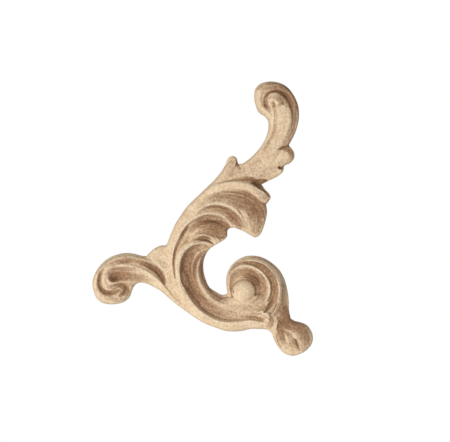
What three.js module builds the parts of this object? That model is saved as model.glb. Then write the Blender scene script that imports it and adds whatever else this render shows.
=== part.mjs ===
// Scroll applique, pressed wood pulp: one solid with a flat back and a carved front.
//
// Frame, in millimetres: it hangs upright. +Z is up, the carved front looks to -Y,
// the flat back lies in y = 0, and the origin is the middle of the back's height and width.
//
// The drawing below is kept in squares of the pattern sheet, x to the right and y down,
// as a carver would lay it out. Heights are shares of RELIEF, measured from the back.

import * as THREE from 'three';

// Sizes in millimetres
const HEIGHT = 127;        // foot of the knob to the top of the crook
const RELIEF = 9.5;        // back to a crest of height 1
const WALL = 2.9;          // upright edge all round, where the carving ends
const EDGE_ROUND = 1.2;    // how far in from the edge the rounding reaches
const BLEND = 0.025;       // share of RELIEF over which two forms run together

// How finely the skin is faceted
const EDGE_STEP = 1.15;    // longest step along the outline, mm
const EDGE_BOW = 0.03;     // most that a step may leave the outline, mm
const FACETS = 9700;       // triangles of the whole solid
const FILL_ACROSS = 7;     // squares between the points that fill the plain parts, along a row
const FILL_DOWN = 6;       // squares between the rows of those points

// The outline, clockwise. Each run is a smooth line and a corner starts the next one.
const OUTLINE = {
  crook: [
    [238, 163.5], [241.6, 163], [246.6, 160], [254.1, 153.4], [261.5, 144.2], [266.1, 135.2],
    [268.2, 126.3], [267.8, 120.2], [264.9, 115.8], [258.8, 111.6], [254.9, 102.8],
    [253.8, 93.7], [254.5, 89], [259.2, 83.5], [266.6, 81], [275.9, 81.2], [285.3, 85.2],
    [293.6, 95], [298, 106.2], [298.5, 117.4], [295.4, 130.8], [288.4, 144.8],
  ],
  lobe_1: [
    [288.4, 144.8], [291.9, 148.6], [293.9, 152.6], [293.6, 157.8], [289.2, 162.8],
    [284.3, 165.1], [283.3, 166.6],
  ],
  lobe_2: [
    [283.3, 166.6], [283, 170.4], [279.9, 173.9], [272.5, 178.1], [264.5, 182], [261.2, 184],
  ],
  tongue: [
    [261.2, 184], [265.1, 189.3], [269.5, 194], [270.3, 196.8], [269, 199.7], [265.7, 203.8],
  ],
  shell: [
    [265.7, 203.8], [266.6, 210.8], [265.7, 217.8], [263.4, 226], [261.1, 231.9],
    [257.9, 235.7], [254.7, 236.9], [250, 234.8], [244.9, 231.8], [238.4, 228.8],
    [232.4, 227.3], [228.5, 228.2], [226.7, 230.6],
  ],
  inside: [
    [226.7, 230.6], [226.6, 236], [222.6, 240.1], [216.6, 243.6], [211.4, 246.7],
    [207.6, 250.3], [204.8, 255.1], [202.9, 261.7], [202.9, 270.3], [205, 278.8],
    [209.1, 287.3], [214.9, 291.4], [223.2, 294.8], [227, 293.5],
  ],
  volute: [
    [227, 293.5], [226.1, 287.5], [226.2, 275.4], [229.8, 266.8], [236.2, 260.3],
    [243.9, 256.3], [252.3, 255.3], [260.7, 256.7], [270.5, 261.8], [279.4, 270.1],
    [284.4, 279.6], [286.9, 289], [288.4, 300], [288.8, 311], [290.4, 318.4],
  ],
  knob: [
    [290.4, 318.4], [294.1, 320.7], [301, 322.5], [307.7, 325.9], [311.3, 331.5],
    [312.7, 338.2], [310.7, 344.7], [306, 350], [299.7, 353.7], [291.9, 355.5], [284.3, 353.2],
    [278.3, 347.3], [274, 340.2], [271.9, 333.5],
  ],
  under: [
    [271.9, 333.5], [267.7, 329.9], [257.2, 328.7], [250.2, 328.7], [243.2, 330.3],
    [234.7, 331.2], [225.6, 330.6], [215.1, 327.3], [204.6, 323.2], [193.7, 316.8],
    [186.3, 311.5], [179.3, 306.6], [171.1, 300], [165.3, 295.1], [159.4, 290], [153.6, 287],
    [147.9, 284], [142.4, 282.3], [136.8, 283], [133.1, 286.2], [130.8, 291.1], [128.6, 297.1],
    [124, 301.3], [116.8, 303.5], [109.3, 304], [101.3, 302.3], [95.6, 297.4], [92.8, 290.2],
    [91.6, 282.8], [93.3, 275.5], [96.7, 268.8], [101.8, 262.6], [108, 257.6], [116.5, 254.1],
    [125, 252.6], [132.7, 253.3], [139.8, 255.2], [145.4, 255.9],
  ],
  cusp: [
    [145.4, 255.9], [149.6, 251.6], [155, 247.3], [160, 245.2], [165, 244.6], [166.3, 243.8],
  ],
  back: [
    [166.3, 243.8], [170.6, 232.6], [175.3, 222.4], [180.2, 215], [185.4, 207.4], [192, 200.4],
    [198.9, 193.9], [206, 187], [214.6, 178.4], [221.4, 170], [225, 163.5], [227.4, 157.8],
    [231.5, 155.2], [235.8, 157], [237.1, 160.8], [238, 163.5],
  ],
};

// The beds: low broad fillings under the carving. Stations: x, y, height, left width, right width.
const BEDS = [
  { name: 'leaf_bed', line: [
    [196, 228, 0.5, 16, 16], [214, 222, 0.5, 17, 18], [236, 212, 0.54, 18, 20],
    [250, 212, 0.52, 16, 24],
  ] },
  { name: 'neck_bed', line: [
    [215, 190, 0.46, 14, 8], [240, 176, 0.46, 12, 14], [262, 162, 0.48, 14, 16],
    [276, 150, 0.52, 14, 12], [283, 132, 0.56, 12, 14], [281, 112, 0.62, 16, 16],
    [272, 101, 0.64, 17, 17],
  ] },
  { name: 'scroll_bed', line: [
    [196, 250, 0.38, 16, 12], [190, 270, 0.38, 12, 16], [198, 292, 0.38, 14, 16],
    [220, 308, 0.38, 16, 16], [250, 312, 0.42, 18, 14], [272, 318, 0.5, 16, 16],
    [288, 334, 0.46, 20, 20],
  ] },
  { name: 'volute_bed', line: [
    [250, 288, 0.44, 36, 36], [256, 290, 0.44, 36, 36],
  ] },
  { name: 'arm_bed', line: [
    [178, 298, 0.44, 10, 10], [164, 280, 0.5, 16, 12], [150, 268, 0.56, 16, 14],
    [138, 267, 0.58, 15, 15], [126, 272, 0.6, 22, 20], [116, 278, 0.6, 26, 25],
    [113, 280, 0.6, 26, 26],
  ] },
];

// The raised forms, each drawn along its crest. Stations: x, y, crest, width to the left foot and
// to the right foot; a foot is the height that the side runs down to.
const FORMS = [
  { name: 'stem', left: 'round', right: 'dome', leftFoot: 0.3, rightFoot: 0.42, line: [
    [172, 300, 0.62, 9, 12], [168, 285, 0.66, 10, 12], [168.5, 272, 0.66, 10, 12],
    [169.5, 262, 0.66, 9, 12], [171.5, 250, 0.66, 6.4, 12], [175.5, 237, 0.66, 5.8, 12],
    [181.5, 223.5, 0.66, 5.8, 13], [190, 211, 0.66, 5.8, 14], [201, 200, 0.66, 5.8, 16],
    [212, 189.5, 0.64, 5.2, 16], [220.5, 179.5, 0.6, 4.8, 10], [227.5, 169, 0.54, 4.2, 6],
    [231.6, 160.5, 0.46, 4.2, 4.4],
  ] },
  { name: 'leaf_rib', left: 'dome', right: 'hollow', leftFoot: 0.5, rightFoot: 0.44, line: [
    [173.8, 278, 0.72, 9, 1], [173.3, 261, 0.74, 9, 1.6], [174.3, 252, 0.77, 9, 2.4],
    [177, 243.5, 0.8, 9, 3.2], [180.5, 236.5, 0.82, 10, 4], [184.5, 229, 0.85, 12, 5],
    [189, 222.8, 0.87, 14, 5.5], [194.8, 217.8, 0.88, 14, 5.5], [201.8, 214.6, 0.87, 12, 6],
    [210.3, 213.3, 0.84, 9.5, 6.5], [218, 214.6, 0.79, 9, 6.5], [224.3, 217.6, 0.72, 9.5, 5.5],
    [228, 221.2, 0.65, 9.5, 4.5], [230.5, 225.5, 0.54, 10, 3],
  ] },
  { name: 'shell', left: 'dome', right: 'hollow', leftFoot: 0.52, rightFoot: 0.5, line: [
    [190, 219, 0.8, 12, 9], [197, 211.5, 0.84, 13, 8], [205, 206, 0.87, 15, 4.5],
    [212, 204, 0.89, 16, 3], [218, 203.8, 0.9, 17, 2.6], [224, 205.2, 0.9, 18, 2.5],
    [230, 207.7, 0.89, 21, 2.5], [236, 212, 0.86, 25, 2.5], [240.4, 217.2, 0.82, 28, 2.5],
    [243.3, 222.6, 0.76, 28, 2.5], [245.6, 228.6, 0.66, 24, 2.5], [247, 233, 0.56, 18, 2.5],
  ] },
  { name: 'tongue', left: 'dome', right: 'dome', leftFoot: 0.4, rightFoot: 0.48, line: [
    [200, 203, 0.66, 8, 8], [208, 194, 0.74, 7, 8], [217, 187.4, 0.78, 6.5, 7],
    [227, 184.8, 0.8, 6, 7], [237, 184.4, 0.8, 5.6, 7.4], [246, 186.2, 0.78, 5.6, 7.4],
    [254, 190, 0.72, 6.4, 7.2], [260.8, 194.6, 0.64, 6.4, 7], [265, 198.8, 0.54, 5, 5],
  ] },
  { name: 'scroll', left: 'hollow', right: 'round', leftFoot: 0.38, rightFoot: 0.3, line: [
    [211, 244.6, 0.56, 2.5, 2], [205, 243, 0.64, 3.6, 3], [198, 242.9, 0.7, 6, 4],
    [191.4, 245.2, 0.75, 9, 6], [186.4, 249.4, 0.78, 11.5, 7], [182.8, 255.4, 0.8, 13, 8],
    [180.6, 263, 0.8, 14, 9], [180.4, 272, 0.8, 14.5, 12], [181.5, 281, 0.8, 15.5, 13],
    [185, 291, 0.8, 15.5, 12], [190.5, 300.2, 0.8, 15.5, 12], [198.2, 309.3, 0.8, 14.5, 9.6],
    [208.1, 316.3, 0.8, 13.5, 9], [218.6, 320.5, 0.8, 12.5, 9], [229.1, 321.9, 0.8, 12, 9.9],
    [239.6, 321.4, 0.77, 11, 10.2], [249.6, 319.6, 0.72, 7.6, 9.8], [257, 319.2, 0.68, 5, 10],
    [264, 320.4, 0.66, 4, 9.6], [270, 322, 0.64, 4, 9],
  ] },
  { name: 'ring', left: 'slope', right: 'round', leftFoot: 0.4, rightFoot: 0.44, line: [
    [206.4, 249.6, 0.52, 3, 2], [201.2, 254.4, 0.56, 4.5, 2.2], [197.9, 261.4, 0.6, 5.6, 2.4],
    [197.1, 270, 0.62, 6.2, 2.4], [198, 279, 0.66, 7.4, 2.4], [201.4, 287.5, 0.7, 8.6, 2.8],
    [207.3, 295, 0.74, 9.4, 3.4], [216, 301, 0.78, 11, 4.6], [226, 304, 0.79, 13, 5.5],
    [237, 305.8, 0.8, 14, 6], [249, 306.2, 0.8, 14, 6], [258.5, 304, 0.8, 14, 4.6],
    [265.3, 298.8, 0.8, 14, 3], [269.2, 291, 0.8, 14, 3], [268.4, 282.5, 0.8, 14, 3],
    [264.6, 275.6, 0.79, 14, 3], [258.4, 269.7, 0.78, 14, 3], [251, 265.9, 0.77, 13, 3],
    [243.5, 264.8, 0.74, 12, 3], [236.2, 267, 0.68, 10, 3], [230.8, 273.4, 0.62, 6, 3.5],
    [229.2, 281, 0.58, 4, 3.6], [229.4, 289, 0.56, 3.4, 3.6], [231.4, 295, 0.58, 3.4, 3.6],
  ] },
  { name: 'tendril', left: 'dome', right: 'ogee', leftFoot: 0.3, rightFoot: 0.46, line: [
    [233, 269, 0.5, 5, 2], [238.5, 263, 0.56, 5, 3], [246, 259.9, 0.64, 4.4, 3.5],
    [254, 260.2, 0.71, 4.8, 3.5], [261.1, 262.4, 0.76, 5.6, 3.5],
    [267.7, 266.7, 0.79, 6.8, 3.5], [273.6, 273.8, 0.8, 8, 3.5], [278, 281.7, 0.8, 8.6, 3.5],
    [279.2, 289, 0.8, 9.2, 3.5], [278.6, 297, 0.79, 10.6, 3.8], [276.4, 304.5, 0.76, 13, 4.4],
    [272.8, 311.5, 0.72, 17, 5], [266.8, 316.6, 0.68, 20, 5],
  ] },
  { name: 'curl', left: 'dome', right: 'dome', leftFoot: 0.44, rightFoot: 0.44, line: [
    [252, 308, 0.7, 4, 4], [259, 311.4, 0.68, 3.6, 3.6], [266, 314.6, 0.68, 4, 4],
  ] },
  { name: 'stalk', left: 'dome', right: 'dome', leftFoot: 0.3, rightFoot: 0.36, line: [
    [264, 322, 0.62, 10, 8], [272, 320.5, 0.66, 12, 10], [280, 323, 0.66, 12, 12],
    [287, 329, 0.64, 10, 14],
  ] },
  { name: 'ball', left: 'round', right: 'round', leftFoot: 0.4, rightFoot: 0.4, line: [
    [243.2, 290.6, 0.98, 11.4, 11.4], [243.8, 291, 0.98, 11.4, 11.4],
  ] },
  { name: 'knob', left: 'round', right: 'round', leftFoot: 0.24, rightFoot: 0.24, line: [
    [292.2, 337.6, 0.8, 21, 21], [292.8, 338, 0.8, 21, 21],
  ] },
  { name: 'lip', left: 'dome', right: 'hollow', leftFoot: 0.46, rightFoot: 0.48, line: [
    [190.5, 231, 0.62, 3, 3], [195.5, 227, 0.7, 4, 4.5], [201.6, 225, 0.71, 5, 5],
    [208, 224.2, 0.68, 5, 5], [214, 225, 0.63, 5, 5], [220, 227.6, 0.56, 5, 5],
  ] },
  { name: 'lip_rib', left: 'dome', right: 'hollow', leftFoot: 0.46, rightFoot: 0.44, line: [
    [188.6, 240.6, 0.66, 2.6, 3], [192.4, 237.2, 0.72, 4.6, 3.6], [197.6, 235.2, 0.73, 5, 3.6],
    [203, 234.8, 0.71, 5, 3.6], [208.5, 236, 0.68, 5, 3.6], [213.5, 239.3, 0.64, 5, 3.5],
    [216.4, 243, 0.56, 5, 3],
  ] },
  { name: 'crook', left: 'soft', right: 'soft', leftFoot: 0.38, rightFoot: 0.46, line: [
    [234, 186, 0.5, 12, 6], [244, 178, 0.56, 15, 8], [254, 170, 0.62, 17, 12],
    [264, 160.5, 0.66, 17, 12], [272.5, 148.5, 0.69, 17, 11], [278.4, 137, 0.72, 17, 10],
    [281.2, 125, 0.74, 16.5, 8.6], [281.8, 114, 0.75, 16, 8], [280.4, 106, 0.75, 13, 8],
    [277, 100.6, 0.74, 8.6, 7.6], [273, 99.6, 0.73, 5, 6.4], [271.6, 100.6, 0.72, 4, 5],
  ] },
  { name: 'crook_rim', left: 'round', right: 'ogee', leftFoot: 0.3, rightFoot: 0.58, line: [
    [289, 142, 0.46, 3, 3], [293, 131, 0.54, 3.6, 3.2], [294.9, 119, 0.6, 3.6, 2.6],
    [294.8, 108, 0.63, 3.6, 2.6], [291.9, 98.6, 0.65, 4.4, 3], [286.2, 91, 0.66, 5, 3.6],
    [278.8, 86.6, 0.67, 5.6, 4.4], [270.5, 85.6, 0.68, 5, 5.4], [263, 87.6, 0.69, 5.5, 5.5],
    [258.6, 93.6, 0.69, 5.5, 4.4], [258.4, 101, 0.69, 5, 4], [260.4, 107, 0.69, 4.4, 5],
    [264.6, 111.6, 0.69, 4, 6], [270, 116, 0.69, 4, 6],
  ] },
  { name: 'frond', left: 'dome', right: 'dome', leftFoot: 0.3, rightFoot: 0.3, line: [
    [226, 182, 0.54, 9, 4], [240, 174.5, 0.56, 9, 6], [255, 168, 0.58, 10, 13],
    [268, 163, 0.58, 13, 16], [279, 158.5, 0.56, 14, 12], [286.5, 155, 0.54, 10, 9],
  ] },
  { name: 'frond_toe', left: 'dome', right: 'dome', leftFoot: 0.3, rightFoot: 0.3, line: [
    [262, 172, 0.54, 8, 11], [271, 171, 0.54, 8, 10], [277.5, 169.5, 0.5, 7, 7],
  ] },
  { name: 'arm_rib', left: 'dome', right: 'ogee', leftFoot: 0.4, rightFoot: 0.58, line: [
    [188, 311, 0.5, 5, 3], [177, 300.5, 0.62, 5, 4], [168, 290.5, 0.68, 7, 4],
    [159, 280.5, 0.71, 9.5, 5], [150, 274, 0.73, 11.5, 5.5], [140.5, 270, 0.73, 14, 5.5],
    [130.5, 268, 0.73, 7, 4.5], [120, 267.2, 0.73, 6.4, 4], [110.5, 268.6, 0.73, 5.6, 4],
    [104.8, 274, 0.73, 5.4, 4], [103.9, 281.2, 0.72, 5.4, 4], [107.2, 286.2, 0.7, 5.4, 4],
    [112.8, 288, 0.68, 5.4, 4], [117.6, 286.6, 0.65, 5, 3],
  ] },
  { name: 'arm_rim', left: 'round', right: 'ogee', leftFoot: 0.54, rightFoot: 0.36, line: [
    [156, 266, 0.58, 4, 8], [146, 260.6, 0.63, 4, 6], [137, 258.4, 0.65, 4, 6],
    [128, 257.4, 0.66, 4.4, 6], [120, 258.2, 0.66, 5, 6], [111.8, 261.2, 0.66, 4.8, 6],
    [103.8, 266.6, 0.66, 4.6, 5], [97.6, 273.4, 0.66, 4.2, 5], [94.8, 281, 0.66, 3.8, 5],
    [95.6, 289, 0.66, 4, 5], [99.4, 295.8, 0.66, 4.4, 6], [105.6, 299.6, 0.66, 5, 6.5],
    [112.5, 300.6, 0.66, 5, 6.5], [119.4, 298.8, 0.64, 5, 6], [124.4, 294.8, 0.62, 4, 5.5],
    [127.6, 289, 0.58, 4, 5.5],
  ] },
  { name: 'cusp', left: 'soft', right: 'soft', leftFoot: 0.4, rightFoot: 0.36, line: [
    [176, 282, 0.64, 13, 14], [170, 272, 0.62, 15, 14], [164, 262, 0.6, 16, 14],
    [159, 254, 0.56, 14, 12],
  ] },
];

// The cuts of the gouge. Stations: x, y, floor, half width, rise of the side at that half width.
const GOUGES = [
  { name: 'arm_groove', blend: 0.02, line: [
    [164.4, 284.4, 0.62, 1, 0.2], [162.6, 279.5, 0.5, 2, 0.2], [159.4, 273.6, 0.46, 3, 0.2],
    [153.6, 268, 0.46, 3.2, 0.2], [146.6, 264.2, 0.48, 2.8, 0.2], [138.6, 262, 0.56, 2.4, 0.2],
    [130, 261, 0.61, 2, 0.2], [121, 261.4, 0.62, 1.6, 0.2], [112.5, 263.4, 0.62, 1.4, 0.2],
    [105.6, 267.2, 0.6, 1.4, 0.2], [100.6, 272.2, 0.52, 1.6, 0.2],
    [97.9, 278.5, 0.44, 2, 0.22], [98, 284.6, 0.42, 2.4, 0.22],
    [100.6, 290.4, 0.42, 2.8, 0.22], [105.6, 294, 0.42, 3, 0.22],
    [111.6, 295.2, 0.44, 3, 0.22], [117, 293.4, 0.5, 2.6, 0.22],
    [119.8, 290.4, 0.58, 1.6, 0.22],
  ] },
  { name: 'eye', blend: 0.04, line: [
    [113.4, 277.2, 0.38, 4.4, 0.24], [114.2, 277.2, 0.38, 4.4, 0.24],
  ] },
  { name: 'eye_tail', blend: 0.04, line: [
    [117, 275.6, 0.5, 3.4, 0.14], [123, 276, 0.54, 3.4, 0.12], [129, 276.6, 0.58, 3, 0.1],
    [133, 278, 0.62, 2, 0.1],
  ] },
  { name: 'crescent', blend: 0.02, line: [
    [122.4, 284, 0.6, 1.2, 0.2], [124.6, 287.6, 0.5, 2.2, 0.2], [123.6, 291.6, 0.52, 2, 0.2],
    [120.6, 294.8, 0.58, 1.2, 0.2],
  ] },
  { name: 'crook_groove', blend: 0.02, line: [
    [268.4, 107.6, 0.58, 1.2, 0.18], [265.8, 106.6, 0.52, 2.2, 0.18],
    [264.6, 102.6, 0.48, 2.9, 0.2], [265.2, 97.4, 0.48, 2.5, 0.2],
    [268.4, 93.2, 0.48, 1.9, 0.2], [274, 91, 0.48, 1.6, 0.2], [280, 91.6, 0.48, 1.6, 0.2],
    [285.6, 95.4, 0.48, 1.8, 0.18], [289.4, 100.8, 0.48, 2.1, 0.16],
    [291.4, 107.6, 0.48, 2.4, 0.15], [291.6, 116, 0.49, 2.6, 0.14],
    [290.6, 125, 0.5, 2.6, 0.13], [288, 135, 0.54, 2.2, 0.12], [285.6, 142, 0.58, 1.4, 0.1],
  ] },
  { name: 'frond_nick', blend: 0.02, line: [
    [280.6, 148.6, 0.5, 1, 0.2], [284, 147.6, 0.46, 1.2, 0.2], [288, 146, 0.42, 1.2, 0.2],
  ] },
  { name: 'frond_hole', blend: 0.02, line: [
    [278.6, 167, 0.34, 1, 0.3], [280.4, 167.6, 0.34, 1, 0.3], [283, 166.6, 0.36, 0.8, 0.3],
  ] },
  { name: 'tongue_line', blend: 0.02, line: [
    [217, 183.4, 0.62, 0.8, 0.16], [225, 180.9, 0.56, 1, 0.16], [234, 179.6, 0.52, 1.1, 0.16],
    [243, 179.4, 0.47, 1.3, 0.16], [250, 180.4, 0.43, 1.6, 0.16],
    [256, 184.2, 0.38, 1.9, 0.18], [261.4, 188, 0.34, 1.8, 0.2],
    [264.6, 190.6, 0.32, 1.2, 0.2],
  ] },
  { name: 'tongue_under', blend: 0.015, line: [
    [240, 191.6, 0.62, 0.7, 0.14], [247.4, 194.2, 0.54, 1, 0.14],
    [253.2, 198.2, 0.54, 0.9, 0.14], [259.2, 201.7, 0.5, 1, 0.14],
    [265, 204.6, 0.42, 1.1, 0.16],
  ] },
  { name: 'leaf_line', blend: 0.02, line: [
    [191, 226.4, 0.62, 1, 0.16], [195, 223.4, 0.55, 1.2, 0.16], [201.6, 221.6, 0.5, 1.3, 0.16],
    [208.6, 220.4, 0.48, 1.4, 0.16], [215, 221.6, 0.46, 1.7, 0.16],
    [222, 225, 0.42, 2.4, 0.16],
  ] },
  { name: 'lip_hollow', blend: 0.02, line: [
    [195, 241.5, 0.58, 1.6, 0.18], [200, 239.6, 0.5, 2.2, 0.18], [205, 239.2, 0.48, 2.3, 0.18],
    [210, 240.8, 0.5, 2, 0.18],
  ] },
  { name: 'ball_slit', blend: 0.02, line: [
    [231.8, 283, 0.52, 0.9, 0.2], [232, 287.5, 0.44, 1.1, 0.2], [232.8, 291.6, 0.46, 0.9, 0.2],
  ] },
  { name: 'curl_pit', blend: 0.02, line: [
    [252.6, 315.4, 0.5, 1, 0.2], [256.6, 317.2, 0.44, 1.5, 0.2],
    [260.6, 318.8, 0.46, 1.5, 0.2], [264.4, 320.4, 0.54, 1, 0.2],
  ] },
  { name: 'curl_gap', blend: 0.02, line: [
    [274.2, 302.4, 0.52, 1.5, 0.2], [271, 306.4, 0.5, 1.7, 0.2], [267, 309.4, 0.52, 1.5, 0.2],
    [263.4, 311.2, 0.6, 0.9, 0.2],
  ] },
  { name: 'knob_line', blend: 0.02, line: [
    [280.4, 313.6, 0.62, 0.8, 0.2], [278.6, 319.6, 0.54, 1.1, 0.2],
    [276.8, 327.2, 0.5, 1.3, 0.2], [276.3, 334.9, 0.5, 1.4, 0.2],
    [277.8, 341.8, 0.5, 1.3, 0.2], [281, 347, 0.54, 0.9, 0.2],
  ] },
  { name: 'knob_hollow', blend: 0.02, line: [
    [291.6, 338.6, 0.72, 1, 0.1], [294.6, 340.4, 0.68, 1.4, 0.14],
    [296.6, 345, 0.66, 1.4, 0.14], [298, 350, 0.6, 1, 0.14],
  ] },
];

// A smooth line through the stations of a list. The columns after x and y (height, widths)
// are carried along with it.
function smoothLine(stations, perSpan) {
  const count = stations.length;
  const mirrored = (a, b) => a.map((value, i) => 2 * value - b[i]);
  const padded = [mirrored(stations[0], stations[1]), ...stations,
    mirrored(stations[count - 1], stations[count - 2])];
  const reach = (a, b) => Math.hypot(b[0] - a[0], b[1] - a[1]);
  const out = [];
  for (let span = 0; span < count - 1; span++) {
    const [a, b, c, d] = padded.slice(span, span + 4);
    const ab = reach(a, b);
    const bc = reach(b, c);
    const cd = reach(c, d);
    for (let step = 0; step < perSpan; step++) {
      const t = step / perSpan;
      out.push(b.map((value, i) => {
        const leave = ((c[i] - b[i]) / bc * ab + (b[i] - a[i]) / ab * bc) / (ab + bc) * bc;
        const arrive = ((d[i] - c[i]) / cd * bc + (c[i] - b[i]) / bc * cd) / (bc + cd) * bc;
        return (2 * t ** 3 - 3 * t ** 2 + 1) * value + (t ** 3 - 2 * t ** 2 + t) * leave
          + (3 * t ** 2 - 2 * t ** 3) * c[i] + (t ** 3 - t ** 2) * arrive;
      }));
    }
  }
  out.push([...stations[count - 1]]);
  return out;
}

// The nearest place on a line: its columns, the distance, and the side (+1 is the right hand
// of someone walking along the line on the sheet).
function nearestOn(line, x, y) {
  let best = Infinity;
  let at = 0;
  let share = 0;
  for (let i = 0; i < line.length - 1; i++) {
    const [ax, ay] = line[i];
    const dx = line[i + 1][0] - ax;
    const dy = line[i + 1][1] - ay;
    const t = Math.min(1, Math.max(0, ((x - ax) * dx + (y - ay) * dy) / (dx * dx + dy * dy)));
    const gap = (x - ax - t * dx) ** 2 + (y - ay - t * dy) ** 2;
    if (gap < best) {
      best = gap;
      at = i;
      share = t;
    }
  }
  const a = line[at];
  const b = line[at + 1];
  const columns = a.map((value, i) => value + (b[i] - value) * share);
  const turn = (b[0] - a[0]) * (y - columns[1]) - (b[1] - a[1]) * (x - columns[0]);
  return { columns, distance: Math.sqrt(best), side: turn > 0 ? 1 : -1 };
}

// Sections of a form from its crest (v = 0) to its foot (v = 1)
const SECTION = {
  round: (v) => Math.sqrt(1 - v * v),
  dome: (v) => 1 - v * v,
  soft: (v) => 1 - v ** 3,
  slope: (v) => 1 - v,
  ogee: (v) => (1 + Math.cos(Math.PI * v)) / 2,
  hollow: (v) => (1 - v) ** 2,
  wall: (v) => (1 - v) ** 3,
};

function blendUp(a, b, reach) {
  const t = Math.min(1, Math.max(0, 0.5 + 0.5 * (a - b) / reach));
  return b * (1 - t) + a * t + reach * t * (1 - t);
}

function blendDown(a, b, reach) {
  return -blendUp(-a, -b, reach);
}

function boxOf(line, reach) {
  const xs = line.map((row) => row[0]);
  const ys = line.map((row) => row[1]);
  return [Math.min(...xs) - reach, Math.max(...xs) + reach,
    Math.min(...ys) - reach, Math.max(...ys) + reach];
}

function within(box, x, y) {
  return x > box[0] && x < box[1] && y > box[2] && y < box[3];
}

const GROUND = WALL / RELIEF;

const raised = [
  ...BEDS.map((bed) => ({ ...bed, left: 'soft', right: 'soft',
    leftFoot: GROUND, rightFoot: GROUND, blend: 0.04 })),
  ...FORMS.map((form) => ({ ...form, blend: BLEND })),
].map((form) => ({
  ...form,
  line: smoothLine(form.line, 6),
  box: boxOf(form.line, Math.max(...form.line.map((row) => Math.max(row[3], row[4])))),
}));

const cuts = GOUGES.map((cut) => ({
  ...cut,
  line: smoothLine(cut.line, 6),
  box: boxOf(cut.line, 2 + 1.6 * Math.max(...cut.line.map((row) => row[3]))),
}));

function carvedHeight(x, y) {
  let height = GROUND;
  for (const form of raised) {
    if (!within(form.box, x, y)) continue;
    const { columns, distance, side } = nearestOn(form.line, x, y);
    const [, , crest, leftWidth, rightWidth] = columns;
    const width = side > 0 ? rightWidth : leftWidth;
    if (distance >= width) continue;
    const foot = side > 0 ? form.rightFoot : form.leftFoot;
    const section = SECTION[side > 0 ? form.right : form.left];
    height = blendUp(height, foot + (crest - foot) * section(distance / width), form.blend);
  }
  for (const cut of cuts) {
    if (!within(cut.box, x, y)) continue;
    const { columns, distance } = nearestOn(cut.line, x, y);
    const [, , floor, halfWidth, rise] = columns;
    const swept = floor + rise * (distance / Math.max(halfWidth, 0.05)) ** 2;
    height = Math.min(height, blendDown(height, swept, cut.blend));
  }
  return height;
}

const closely = Object.values(OUTLINE).flatMap((run) => smoothLine(run, 10).slice(0, -1));
const sheetTop = Math.min(...closely.map((point) => point[1]));
const sheetFoot = Math.max(...closely.map((point) => point[1]));
const sheetLeft = Math.min(...closely.map((point) => point[0]));
const sheetRight = Math.max(...closely.map((point) => point[0]));
const SQUARE = HEIGHT / (sheetFoot - sheetTop);
const ORIGIN = [(sheetLeft + sheetRight) / 2, (sheetTop + sheetFoot) / 2];

// Thin the outline to steps no longer than EDGE_STEP that keep within EDGE_BOW of it
function thinned(points) {
  const corners = new Set(Object.values(OUTLINE).map((run) => run[0].join()));
  const kept = [points[0]];
  let since = [];
  for (const point of [...points.slice(1), points[0]]) {
    const from = kept[kept.length - 1];
    const chord = [from, point];
    const bow = Math.max(0, ...since.map((p) => nearestOn(chord, p[0], p[1]).distance));
    const length = Math.hypot(point[0] - from[0], point[1] - from[1]);
    if (since.length && (bow * SQUARE > EDGE_BOW || length * SQUARE > EDGE_STEP)) {
      kept.push(since[since.length - 1]);
      since = [];
    }
    since.push(point);
    if (corners.has(point.join()) && point !== points[0]) {
      kept.push(point);
      since = [];
    }
  }
  return kept;
}

function insideDistance(edge, x, y) {
  let best = Infinity;
  let inside = false;
  for (let i = 0; i < edge.length; i++) {
    const [ax, ay] = edge[i];
    const [bx, by] = edge[(i + 1) % edge.length];
    const dx = bx - ax;
    const dy = by - ay;
    const t = Math.min(1, Math.max(0, ((x - ax) * dx + (y - ay) * dy) / (dx * dx + dy * dy)));
    best = Math.min(best, (x - ax - t * dx) ** 2 + (y - ay - t * dy) ** 2);
    if ((ay > y) !== (by > y) && x < ax + dx * (y - ay) / dy) inside = !inside;
  }
  return inside ? Math.sqrt(best) : -Math.sqrt(best);
}

function roundedHeight(x, y, fromEdge) {
  const share = Math.min(1, Math.max(0, fromEdge * SQUARE / EDGE_ROUND));
  return GROUND + (carvedHeight(x, y) - GROUND) * Math.sqrt(1 - (1 - share) ** 2);
}

// The front is a net of triangles over the sheet (Delaunay). It starts from the outline and
// a sparse fill, and a point is added wherever the net is furthest from the carved height.
class Net {
  constructor(centre, span) {
    const far = 20 * span;
    this.points = [[centre[0] - far, centre[1] - far], [centre[0] + far, centre[1] - far],
      [centre[0], centre[1] + far]];
    this.triangles = [this.faced(0, 1, 2)];
  }

  // A triangle with its circumscribed circle
  faced(a, b, c) {
    const [ax, ay] = this.points[a];
    const bx = this.points[b][0] - ax;
    const by = this.points[b][1] - ay;
    const cx = this.points[c][0] - ax;
    const cy = this.points[c][1] - ay;
    const twice = 2 * (bx * cy - by * cx);
    const bb = bx * bx + by * by;
    const cc = cx * cx + cy * cy;
    const ux = (cy * bb - by * cc) / twice;
    const uy = (bx * cc - cx * bb) / twice;
    return { corners: [a, b, c], x: ax + ux, y: ay + uy, reach: ux * ux + uy * uy };
  }

  add(x, y) {
    const index = this.points.push([x, y]) - 1;
    const rim = new Map();
    const kept = [];
    for (const triangle of this.triangles) {
      if ((x - triangle.x) ** 2 + (y - triangle.y) ** 2 >= triangle.reach) {
        kept.push(triangle);
        continue;
      }
      const [a, b, c] = triangle.corners;
      for (const [from, to] of [[a, b], [b, c], [c, a]]) {
        const back = `${to},${from}`;
        if (rim.has(back)) rim.delete(back);
        else rim.set(`${from},${to}`, [from, to]);
      }
    }
    this.triangles = kept;
    for (const [from, to] of rim.values()) this.triangles.push(this.faced(from, to, index));
    return index;
  }
}

const GRID = 0.5;    // squares between samples of the carved height

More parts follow.
